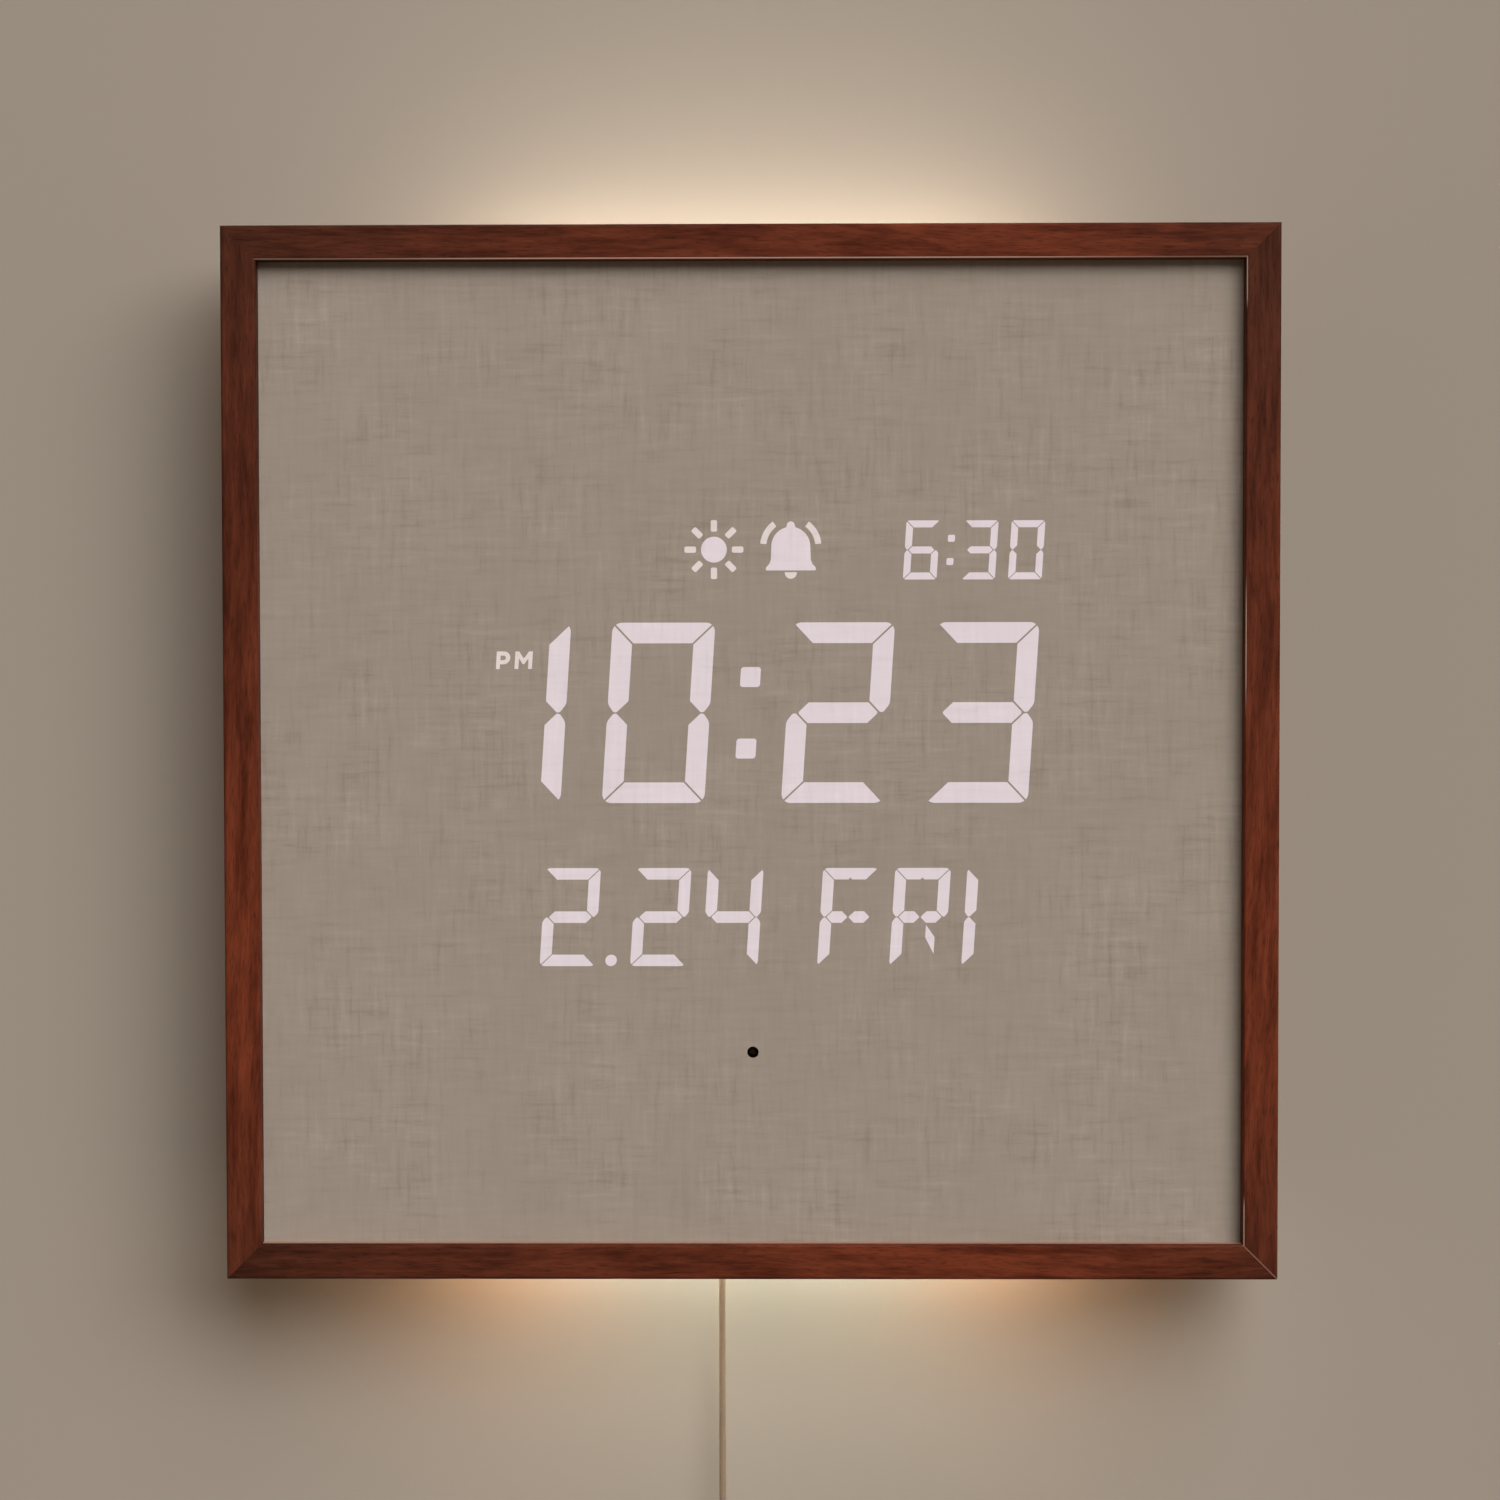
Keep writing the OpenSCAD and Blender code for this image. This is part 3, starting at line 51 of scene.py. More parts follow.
scene = bpy.context.scene

# %% [markdown]
# The camera stands 900 mm in front of the frame, a little above its middle, and looks slightly down.
# A place and three small turns say that plainly, and the lens has the photograph's narrow angle.
# A camera looks along its own -Z, so it is first stood up to look along +Y, and then turned.

# %% Camera
CAMERA_PLACE = Vector((9.9, -941.8, 31.5)) * MM
CAMERA_YAW = math.radians(0.64)
CAMERA_PITCH = math.radians(-1.925)
CAMERA_ROLL = math.radians(0.087)
FILM_WIDTH, LENS = 36.0, 76.14
camera_data = bpy.data.cameras.new("photo_camera")
camera_data.sensor_width = FILM_WIDTH
camera_data.lens = LENS
camera = bpy.data.objects.new("photo_camera", camera_data)
scene.collection.objects.link(camera)
upright = Matrix.Rotation(math.pi / 2, 3, "X")
turned = Matrix.Rotation(CAMERA_YAW, 3, "Z") @ Matrix.Rotation(CAMERA_PITCH, 3, "X")
turned = turned @ Matrix.Rotation(CAMERA_ROLL, 3, "Y")
camera.matrix_world = Matrix.Translation(CAMERA_PLACE) @ (turned @ upright).to_4x4()
scene.camera = camera
scene.view_settings.view_transform = "Standard"
print("camera", [round(v, 3) for v in camera.location], "lens", camera_data.lens)

# %% [markdown]
# The power lead is a thin round vinyl cord. It hangs straight down from the plug, and the length that
# nobody sees is wound below the view into a small coil of four layers, as for storage. A coil could be
# drawn by hand, but a loop that shrinks and grows the radius, layer by layer, keeps every turn one step
# from the next. The sizes named here are in millimetres.

# %% Route of the power lead
CORD_SIZE = 2.0
CORD_X, CORD_Y = -9.0, -6.5
LEAD_ROUTE = [(0, -95), (0, -110), (0, -125), (0, -140), (0, -155), (0, -170), (0, -185), (0, -200),
              (0, -215), (0, -232), (-0.7, -237.3), (-2.8, -242.3), (-6, -246.5)]
TURN_GAP = 0.5
COIL_STEP = CORD_SIZE + TURN_GAP
COIL_LAYERS = 4
COIL_TURNS = 18.125
COIL_OUTER = 17.4
COIL_ENTER = math.radians(135)
# Turns that the cord takes to climb from one layer to the next
LAYER_CHANGE = 0.5
POINTS_PER_TURN = 36
TAIL_STEP, TAIL_POINTS = 5.0, 3
turns_per_layer = COIL_TURNS / COIL_LAYERS
coil_inner = COIL_OUTER - COIL_STEP * turns_per_layer


def eased(share):
    """A smooth step from 0 to 1."""
    share = min(1.0, max(0.0, share))
    return share * share * (3 - 2 * share)


def coil_point(middle, turns):
    """Place on the coil after so many turns: each layer lies nearer the front than the last."""
    layer = min(COIL_LAYERS - 1, int(turns / turns_per_layer))
    wound = COIL_STEP * (turns - layer * turns_per_layer)
    radius = coil_inner + wound if layer % 2 else COIL_OUTER - wound
    since_changes = [turns - k * turns_per_layer for k in range(1, COIL_LAYERS)]
    climbed = sum(eased(since / LAYER_CHANGE + 0.5) for since in since_changes)
    angle = COIL_ENTER + 2 * math.pi * turns
    return middle + Vector((radius * math.cos(angle), -COIL_STEP * climbed, radius * math.sin(angle)))


lead_points = [Vector((CORD_X + x, CORD_Y, z)) for x, z in LEAD_ROUTE]
enter_way = Vector((-math.sin(COIL_ENTER), 0, math.cos(COIL_ENTER)))
enter_spoke = Vector((math.cos(COIL_ENTER), 0, math.sin(COIL_ENTER)))
coil_middle = lead_points[-1] + CORD_SIZE * enter_way - COIL_OUTER * enter_spoke
coil_count = round(COIL_TURNS * POINTS_PER_TURN)
wound_points = [coil_point(coil_middle, COIL_TURNS * i / coil_count) for i in range(coil_count + 1)]
tail_points = [wound_points[-1] - Vector((0, 0, CORD_SIZE + TAIL_STEP * k)) for k in range(TAIL_POINTS)]
cord_points = [point * MM for point in lead_points + wound_points + tail_points]
cord_length = sum((b - a).length for a, b in zip(cord_points, cord_points[1:]))
print("lead", len(cord_points), "points", round(cord_length, 4), "m")

# %% [markdown]
# One poly spline with a round bevel is the simplest true cord: its line is the centreline that is
# measured. Blender counts the radius of each point in the box of a curve, so the points carry the real
# half thickness and the bevel is one.

# %% Power lead as a curve
lead_curve = bpy.data.curves.new("power_lead", "CURVE")
lead_curve.dimensions = "3D"
lead_curve.bevel_depth = 1.0
lead_curve.bevel_resolution = 3
lead_curve.use_fill_caps = True
lead_spline = lead_curve.splines.new("POLY")
lead_spline.points.add(len(cord_points) - 1)
for spline_point, place in zip(lead_spline.points, cord_points):
    spline_point.co = (*place, 1.0)
    spline_point.radius = CORD_SIZE / 2 * MM
power_lead = bpy.data.objects.new("power_lead", lead_curve)
scene.collection.objects.link(power_lead)
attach(power_lead, "clock")
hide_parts("power_cord", "cord_coil", "cord_tail")
print("power_lead", CORD_SIZE, "mm thick")

# %% [markdown]
# A woven strap holds the coil. It is a loop round the bundle with soft corners and an end that laps over
# it. A solid block would look like a clip, so the loop is swept: a rounded path, a strip across it, and
# thickness from a Solidify modifier.

# %% Strap round the coil
TIE_THICK = 0.8 * MM
TIE_ROUND = 2.6 * MM
LAP_DROP, LAP_LONG = 4.0 * MM, 7.0 * MM
ARC_STEPS = 6


def new_piece(name, verts, faces):
    """A mesh object from points in metres."""
    mesh = bpy.data.meshes.new(name)
    mesh.from_pydata([tuple(v) for v in verts], [], faces)
    mesh.validate()
    piece = bpy.data.objects.new(name, mesh)
    scene.collection.objects.link(piece)
    return piece


def rounded_loop(low, high, radius):
    """Points of a rectangle with round corners, counter-clockwise from the lower right corner."""
    left, right = low[0] + radius, high[0] - radius
    bottom, top = low[1] + radius, high[1] - radius
    points = []
    for k, (x, y) in enumerate([(right, bottom), (right, top), (left, top), (left, bottom)]):
        for i in range(ARC_STEPS + 1):
            angle = math.pi / 2 * (k - 1 + i / ARC_STEPS)
            points.append((x + radius * math.cos(angle), y + radius * math.sin(angle)))
    return points


def set_apart(piece, thick, offset):
    """Gives a sheet its thickness, as part of the mesh."""
    modifier = piece.modifiers.new("thickness", "SOLIDIFY")
    modifier.thickness = thick
    modifier.offset = offset
    modifier.use_even_offset = True
    graph = bpy.context.evaluated_depsgraph_get()
    solid = bpy.data.meshes.new_from_object(piece.evaluated_get(graph))
    piece.modifiers.clear()
    piece.data = solid


tie_low, tie_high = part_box("coil_tie")
tie_path = rounded_loop((tie_low.y, tie_low.z), (tie_high.y, tie_high.z), TIE_ROUND)
lap_top = tie_high.z - LAP_DROP
lap_steps = [(tie_low.y - TIE_THICK, z) for z in (lap_top, lap_top - LAP_LONG)]
tie_verts = [(x, y, z) for y, z in tie_path for x in (tie_low.x, tie_high.x)]
loop_size = len(tie_path)
tie_faces = [(2 * i, 2 * i + 1, (2 * i + 3) % (2 * loop_size), (2 * i + 2) % (2 * loop_size))
             for i in range(loop_size)]
lap_start = len(tie_verts)
tie_verts += [(x, y, z) for y, z in lap_steps for x in (tie_low.x, tie_high.x)]
tie_faces.append((lap_start, lap_start + 1, lap_start + 3, lap_start + 2))
coil_strap = new_piece("coil_strap", tie_verts, tie_faces)
set_apart(coil_strap, TIE_THICK, -1.0)
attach(coil_strap, "clock")
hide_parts("coil_tie")
print("coil_strap", len(coil_strap.data.polygons), "faces")

# %% [markdown]
# Finishes are built from shader nodes, and the maths in them reads best as plain Python expressions.
# This small class wraps one socket: adding or multiplying two wires adds a Math node, and any other node
# comes from one method that takes its type, its settings and its sockets.

# %% Wires between shader nodes
class Wire:
    """One socket in the node tree of a material or of the world."""

    def __init__(self, material, socket):
        self.material = material
        self.socket = socket

    def node(self, kind, settings, sockets, out=0):
        """Adds a node: settings first, then a number, a colour or a wire for each of its sockets."""
        tree = self.material.node_tree
        made = tree.nodes.new(kind)
        for name, value in settings.items():
            setattr(made, name, value)
        for name, value in sockets.items():
            if isinstance(value, Wire):
                tree.links.new(value.socket, made.inputs[name])
            else:
                made.inputs[name].default_value = value
        return Wire(self.material, made.outputs[out] if made.outputs else None)

    def maths(self, operation, *values):
        """Adds a Math node with these values."""
        return self.node("ShaderNodeMath", {"operation": operation}, dict(enumerate(values)))

    def __add__(self, other):
        return self.maths("ADD", self, other)

    __radd__ = __add__

    def __sub__(self, other):
        return self.maths("SUBTRACT", self, other)

    def __rsub__(self, other):
        return self.maths("SUBTRACT", other, self)

    def __mul__(self, other):
        return self.maths("MULTIPLY", self, other)

    __rmul__ = __mul__

    def __truediv__(self, other):
        return self.maths("DIVIDE", self, other)


print("wires ready")

# %% [markdown]
# Each finish starts from the place on the object, in metres, so a grain runs on over neighbouring pieces
# and needs no unwrapping. These helpers say what the finishes are made of: a place that is stretched or
# moved, noise at that place, a smooth step, a mix of two colours and a bump.

# %% Places, patterns and colours
# Colour sockets of a Mix node
MIX_FIRST, MIX_SECOND, MIX_RESULT = 6, 7, 2


def parts_of(place):
    """The x, y and z of a place."""
    return [place.node("ShaderNodeSeparateXYZ", {}, {0: place}, out=axis) for axis in range(3)]


def joined(place, x, y, z):
    """A place from three numbers or wires."""
    return place.node("ShaderNodeCombineXYZ", {}, {0: x, 1: y, 2: z})


def stretched(place, x, y, z):
    """The place times a number for each axis: small numbers draw a pattern out along that axis."""
    return place.node("ShaderNodeVectorMath", {"operation": "MULTIPLY"}, {0: place, 1: (x, y, z)})


def shifted(place, x, y, z):
    """The place moved by a number on each axis."""
    return place.node("ShaderNodeVectorMath", {"operation": "ADD"}, {0: place, 1: (x, y, z)})


def noise(place, detail=2.0, rough=0.5):
    """Soft random values from 0 to 1, mostly near the middle, about one unit apart."""
    sockets = {"Vector": place, "Scale": 1.0, "Detail": detail, "Roughness": rough}
    return place.node("ShaderNodeTexNoise", {}, sockets)


def even_noise(place, per_metre, detail, rough=0.5):
    """Noise with so many features to a metre, the same in all directions."""
    return noise(stretched(place, per_metre, per_metre, per_metre), detail, rough)


def between(value, low, high):
    """0 below low, 1 above high, and a smooth rise between them."""
    settings = {"interpolation_type": "SMOOTHSTEP", "clamp": True}
    sockets = {"Value": value, "From Min": low, "From Max": high}
    return value.node("ShaderNodeMapRange", settings, sockets)


def near(value, middle, reach):
    """1 where a value is at the middle, falling to 0 at that reach from it."""
    off = value.maths("ABSOLUTE", value - middle)
    return 1 - between(off, 0.35 * reach, reach)


def mixed(share, first, second):
    """Colour between first, at 0, and second, at 1."""
    settings = {"data_type": "RGBA", "clamp_factor": True}
    sockets = {0: share, MIX_FIRST: first, MIX_SECOND: second}
    return share.node("ShaderNodeMix", settings, sockets, out=MIX_RESULT)


def tinted(first, second):
    """One colour times another."""
    settings = {"data_type": "RGBA", "blend_type": "MULTIPLY"}
    sockets = {0: 1.0, MIX_FIRST: first, MIX_SECOND: second}
    return first.node("ShaderNodeMix", settings, sockets, out=MIX_RESULT)


def raised(height, depth, strength=1.0):
    """Bump from a height of 0 to 1, where 1 stands depth metres proud."""
    sockets = {"Height": height, "Distance": depth, "Strength": strength}
    return height.node("ShaderNodeBump", {}, sockets)


def linear(level):
    """The linear value of a channel that shows on screen as that level, 0 to 255."""
    share = level / 255
    return share / 12.92 if level <= 10.3 else ((share + 0.055) / 1.055) ** 2.4


def colour(red, green, blue):
    """A colour written in 0 to 255 as it shows on screen, as the linear colour that shaders use."""
    return (linear(red), linear(green), linear(blue), 1.0)


def scaled(shade, factor):
    """A darker or paler colour, none of it above 1."""
    return [min(1.0, v * factor) for v in shade[:3]] + [1.0]


print("linen grey is", [round(v, 3) for v in colour(150, 136, 122)])

# %% [markdown]
# A material begins with the place on the object and is closed by the Principled shader. A finish for a
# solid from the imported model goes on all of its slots, and its mesh stays as it is.

# %% Materials
def begin(name):
    """A new material, and the wire that carries the place on the object."""
    material = bpy.data.materials.new(name)
    material.use_nodes = True
    material.node_tree.nodes.clear()
    start = Wire(material, None)
    return start.node("ShaderNodeTexCoord", {}, {}, out="Object")


def close(place, sockets):
    """Ends a material with the Principled shader and these sockets."""
    shader = place.node("ShaderNodeBsdfPrincipled", {}, sockets)
    place.node("ShaderNodeOutputMaterial", {}, {"Surface": shader})
    return place.material


def dress(material, *names):
    """Puts a finish on CAD nodes, whose meshes stay as they are."""
    for name in names:
        for material_slot in NODES[name].material_slots:
            material_slot.material = material


print("slots to dress", sum(len(node.material_slots) for node in NODES.values()))

# %% [markdown]
# The face is one sheet of linen, drawn tight over a panel, round its edges and glued behind as a hem.
# The display shines through it, so the lit places are windows in the sheet, filled by lit cloth. The
# windows of the digits are read from the fronts of the lit solids; the sun, the bell and the PM mark are
# signs, so they are drawn here. All outlines are lists of points on the face, in millimetres.

# %% Outlines of the lit digits
DIGIT_NODES = ["lit_time_digits", "lit_date_digits", "lit_weekday_letters", "lit_alarm_digits"]
KEEP_DIGITS = 4
# A face looks forward where the y of its normal is below this
FORWARD = -0.9


def front_outlines(name):
    """Closed outlines of the faces of a node that look forward."""
    mesh = NODES[name].data
    places = [(round(v.co.x / MM, KEEP_DIGITS), round(v.co.z / MM, KEEP_DIGITS)) for v in mesh.vertices]
    sides = set()
    for face in mesh.polygons:
        if face.normal.y < FORWARD:
            corners = [places[i] for i in face.vertices]
            sides.update(zip(corners, corners[1:] + corners[:1]))
    following = {a: b for a, b in sides if (b, a) not in sides}
    outlines = []
    while following:
        start, place = following.popitem()
        outline = [start]
        while place != start:
            outline.append(place)
            place = following.pop(place)
        outlines.append(outline)
    return outlines


digit_outlines = [outline for name in DIGIT_NODES for outline in front_outlines(name)]
print(len(digit_outlines), "lit segments and dots")

# %% [markdown]
# The sun is a disc with eight short bars. One bar is drawn lying to the right and turned to its place,
# and one helper rounds its corners, because the light wells behind the cloth have no sharp ones.

# %% Outlines of the sun
SUN = (-10.4, 58.2)
SUN_DISC, SUN_STEPS = 3.68, 48
RAYS, RAY_START, RAY_END, RAY_WIDE, RAY_ROUND = 8, 5.1, 8.4, 1.78, 0.45


def arc(centre, radius, start, end, steps):
    """Points on an arc, angles in degrees."""
    angles = [math.radians(start + (end - start) * i / steps) for i in range(steps + 1)]
    return [(centre[0] + radius * math.cos(a), centre[1] + radius * math.sin(a)) for a in angles]


def circle(centre, radius, steps):
    """Points round a whole circle."""
    return arc(centre, radius, 0, 360 * (steps - 1) / steps, steps - 1)


def softened(points, radius, steps=3):
    """The outline with each corner cut to a small arc."""
    corners = [Vector(point) for point in points]
    result = []
    for before, corner, after in zip(corners[-1:] + corners[:-1], corners, corners[1:] + corners[:1]):
        back = (before - corner).normalized()
        ahead = (after - corner).normalized()
        half_angle = back.angle(ahead) / 2
        centre = corner + (back + ahead).normalized() * (radius / math.sin(half_angle))
        start = corner + back * (radius / math.tan(half_angle)) - centre
        first = math.degrees(math.atan2(start.y, start.x))
        turn = math.copysign(180 - math.degrees(2 * half_angle), -back.cross(ahead))
        result += arc(centre, radius, first, first + turn, steps)
    return result


def ray(angle):
    """One bar of the sun."""
    corners = [(RAY_START, -RAY_WIDE / 2), (RAY_END, -RAY_WIDE / 2), (RAY_END, RAY_WIDE / 2),
               (RAY_START, RAY_WIDE / 2)]
    c, s = math.cos(math.radians(angle)), math.sin(math.radians(angle))
    return [(SUN[0] + c * x - s * z, SUN[1] + s * x + c * z) for x, z in softened(corners, RAY_ROUND)]


sun_outline = circle(SUN, SUN_DISC, SUN_STEPS)
ray_outlines = [ray(360 // RAYS * k) for k in range(RAYS)]
print("sun with", len(ray_outlines), "rays")

# %% [markdown]
# The bell is a dome on a flared rim, with a knob, a clapper and two sound arcs. Half of its body is
# drawn, and the other half is the mirror image. The PM mark is two small letters that lean as the digits
# do. The hole in the P is an outline too, because a place inside two outlines is cloth again.

# %% Outlines of the bell and the PM mark
BELL_X, DOME_Z, DOME_R, DOME_END = 11.5, 59.1, 5.55, 72
RIM = [(6.9, 52.25), (7.2, 52.55), (7.05, 53.1), (6.12, 54.15), (5.7, 55.3)]
NECK, KNOB_Z, KNOB_R = (1.3, 64.55), 65.05, 1.15
SOUND_R, SOUND_WIDE, SOUND_ROUND = 7.85, 1.8, 0.25
SOUND_ANGLES = [(5, 54), (126, 175)]
CLAPPER_R, CLAPPER_Z, CLAPPER_TALL = 1.75, 51.75, 1.08
LETTER_P = [(0, 0), (1.2, 0), (1.2, 1.45)] + arc((2.3, 3.43), 1.98, -90, 90, 10) + [(0, 5.4)]
COUNTER_P = [(1.25, 2.72)] + arc((2.2, 3.42), 0.7, -90, 90, 8) + [(1.25, 4.12)]
LETTER_M = [(0, 0), (1.2, 0), (1.25, 3.25), (2.45, 1.5), (2.95, 1.5), (4.15, 3.25), (4.2, 0),
            (5.4, 0), (5.4, 5.4), (4.2, 5.4), (2.7, 3.2), (1.2, 5.4), (0, 5.4)]
LETTER_SIZE, LETTER_MIDDLE, SLANT = 0.925, 2.7, 0.064
P_PLACE, M_PLACE = (-72.55, 24.3), (-67.25, 24.3)


def lettered(letter, place):
    """A letter at its place, leaning about its middle."""
    left, low = place
    return [(left + LETTER_SIZE * (x + SLANT * (z - LETTER_MIDDLE)), low + LETTER_SIZE * z)
            for x, z in letter]


def sound_arc(start, end):
    """One arc beside the bell, between two angles."""
    outer = arc((0, DOME_Z), SOUND_R + SOUND_WIDE / 2, start, end, 8)
    inner = arc((0, DOME_Z), SOUND_R - SOUND_WIDE / 2, end, start, 8)
    return softened(outer + inner, SOUND_ROUND)


bell_half = RIM + arc((0, DOME_Z), DOME_R, 0, DOME_END, 10) + [NECK] + arc((0, KNOB_Z), KNOB_R, 0, 90, 5)
bell_body = bell_half + [(-x, z) for x, z in reversed(bell_half[:-1])]
clapper = [(x, CLAPPER_Z + CLAPPER_TALL * z) for x, z in arc((0, 0), CLAPPER_R, 180, 360, 14)]
bell_parts = [bell_body, clapper] + [sound_arc(start, end) for start, end in SOUND_ANGLES]
bell_outline, *ring_outlines = [[(BELL_X + x, z) for x, z in part] for part in bell_parts]
half_day_outlines = [lettered(LETTER_P, P_PLACE), lettered(COUNTER_P, P_PLACE),
                     lettered(LETTER_M, M_PLACE)]
SIGN_OUTLINES = {"sun_disc": [sun_outline], "sun_rays": ray_outlines, "bell_body": [bell_outline],
                 "bell_rings": ring_outlines, "half_day_mark": half_day_outlines}
print({name: len(outlines) for name, outlines in SIGN_OUTLINES.items()}, "outlines of signs")

# %% [markdown]
# A sheet with some seventy windows is awkward to cut with booleans, which leave slivers. A constrained
# Delaunay triangulation takes all the outlines at once: every triangle is then either cloth, a lit sign,
# or a window, and neighbours share their corners, so the lit cloth lies flush in the sheet with no seam.

# %% Triangles of the face
cloth_low, cloth_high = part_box("linen_cover")
CLOTH_HALF = cloth_high.x / MM
WRAP_ROUND = 0.9
SIDE_STEPS = 24
SENSOR, SENSOR_R, SENSOR_STEPS = (0.5, -85.5), 1.65, 24
# The triangulation keeps every triangle and joins points that lie closer than this
KEEP_ALL, SAME_PLACE = 0, 1e-4


def inside(place, outline):
    """Whether a place lies within a closed outline."""
    x, z = place
    within = False
    for (x0, z0), (x1, z1) in zip(outline, outline[1:] + outline[:1]):
        if (z0 > z) != (z1 > z) and x < x0 + (z - z0) * (x1 - x0) / (z1 - z0):
            within = not within
    return within


def square_ring(half):
    """Points round a square, counter-clockwise from its lower left corner."""
    steps = [-half + 2 * half * i / SIDE_STEPS for i in range(SIDE_STEPS)]
    bottom = [(t, -half) for t in steps]
    right = [(half, t) for t in steps]
    return bottom + right + [(-x, -z) for x, z in bottom] + [(-x, -z) for x, z in right]


border = square_ring(CLOTH_HALF - WRAP_ROUND)
sensor_outline = circle(SENSOR, SENSOR_R, SENSOR_STEPS)
holes = ([("window", sensor_outline)] + [("window", outline) for outline in digit_outlines]
         + [(name, outline) for name, outlines in SIGN_OUTLINES.items() for outline in outlines])
face_points, face_edges = [], []
for outline in [border] + [outline for kind, outline in holes]:
    first = len(face_points)
    face_points += [Vector(place) for place in outline]
    face_edges += [(first + i, first + (i + 1) % len(outline)) for i in range(len(outline))]
sheet_points, _, sheet_faces, *_ = delaunay_2d_cdt(face_points, face_edges, [], KEEP_ALL, SAME_PLACE)
sorted_faces = {kind: [] for kind in ["cloth", "window", *SIGN_OUTLINES]}
reaches = [(min(x for x, z in outline), max(x for x, z in outline),
            min(z for x, z in outline), max(z for x, z in outline)) for kind, outline in holes]
for face in sheet_faces:
    middle = sum((sheet_points[i] for i in face), Vector((0, 0))) / len(face)
    found = [kind for (kind, outline), (left, right, low, high) in zip(holes, reaches)
             if left <= middle.x <= right and low <= middle.y <= high and inside(middle, outline)]
    sorted_faces[found[0] if len(found) % 2 else "cloth"].append(list(face))
print({kind: len(faces) for kind, faces in sorted_faces.items()}, "triangles")

# %% [markdown]
# The cloth goes on round the edge of the panel: its border ring is repeated along a small rounded
# profile, over the side and back inward as the hem. Solidify then gives the sheet the thickness of
# linen. The signs are the triangles that were kept for them, with the same thickness, as pieces of their
# own.

# %% Linen sheet and lit signs
CLOTH_THICK = 0.6 * MM
HEM_WIDE = 7.0
WRAP_STEPS = 4
y_front = cloth_low.y / MM
y_hem = cloth_high.y / MM


def flat_piece(name, faces):
    """A piece of the face from some of its triangles."""
    used = sorted({i for face in faces for i in face})
    place_of = {old: new for new, old in enumerate(used)}
    verts = [(sheet_points[i].x * MM, cloth_low.y, sheet_points[i].y * MM) for i in used]
    return new_piece(name, verts, [[place_of[i] for i in face] for face in faces])


def nearest(place):
    """The number of the sheet's point that lies nearest to a place."""
    return min(range(len(sheet_points)), key=lambda i: (sheet_points[i] - Vector(place)).length)


quarter = [math.pi / 2 * i / WRAP_STEPS for i in range(WRAP_STEPS + 1)]
wrap = [(WRAP_ROUND * (1 - math.sin(a)), y_front + WRAP_ROUND * (1 - math.cos(a))) for a in quarter[1:]]
wrap += [(WRAP_ROUND * (1 - math.cos(a)), y_hem - WRAP_ROUND * (1 - math.sin(a))) for a in quarter]
wrap.append((HEM_WIDE, y_hem))
linen_verts = [(p.x * MM, cloth_low.y, p.y * MM) for p in sheet_points]
linen_faces = list(sorted_faces["cloth"])
ring = [nearest(place) for place in border]
for inset, y in wrap:
    grown = (CLOTH_HALF - inset) / (CLOTH_HALF - WRAP_ROUND)
    next_ring = range(len(linen_verts), len(linen_verts) + len(border))
    linen_verts += [(x * grown * MM, y * MM, z * grown * MM) for x, z in border]
    for k in range(len(border)):
        after = (k + 1) % len(border)
        linen_faces.append([ring[after], ring[k], next_ring[k], next_ring[after]])
    ring = next_ring
linen_face = new_piece("linen_face", linen_verts, linen_faces)
signs = {name: flat_piece(name, sorted_faces[name]) for name in SIGN_OUTLINES}
for piece in [linen_face, *signs.values()]:
    set_apart(piece, CLOTH_THICK, -1.0)
    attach(piece, "clock")
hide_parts("linen_cover")

# %% [markdown]
# Linen is a plain weave of uneven yarn: some threads are thicker and darker for a centimetre or two, in
# both directions, and that shows as faint crossing streaks. An image could hold it, but two noises drawn
# out along X and along Z give the streaks at any size, and two sine waves give the threads that go over
# and under.

# %% Linen
THREAD = 0.62 * MM
# How often the threads wander in a metre, and how far, in radians of their wave
WANDERS, WANDER_BY = 160, 1.4
SLUB_LONG, SLUB_WIDE = 17.0 * MM, 2.0 * MM
SLUB_DETAIL, SLUB_ROUGH = 3.0, 0.65
# The noise that makes the darkest, the plain and the palest yarn
SLUB_DARK, SLUB_PLAIN, SLUB_PALE = 0.26, 0.50, 0.74
# How many patches of stronger streaks, small mottles and broad clouds lie in a metre
PATCHES, MOTTLES, CLOUDS = 34, 120, 38
# The least strength of the streaks, and how much stronger they are in a patch
PATCH_LEAST, PATCH_RISE = 0.45, 0.75
# The tone that all of them change, and how much each one changes it
TONE, STREAK_SHARE, MOTTLE_SHARE, CLOUD_SHARE = 0.53, 0.36, 0.2, 0.3
LINEN_DARK = colour(137, 123, 109)
LINEN_LIGHT = colour(160, 146, 133)


def face_noise(place, per_metre, detail):
    """Noise over the face, with so many features to a metre."""
    return noise(stretched(place, per_metre, 1, per_metre), detail)


def slubs(yarn):
    """Dark and paler streaks where a noise is well off its middle."""
    return between(yarn, SLUB_DARK, SLUB_PLAIN) - 1.0 + 0.8 * between(yarn, SLUB_PLAIN, SLUB_PALE)


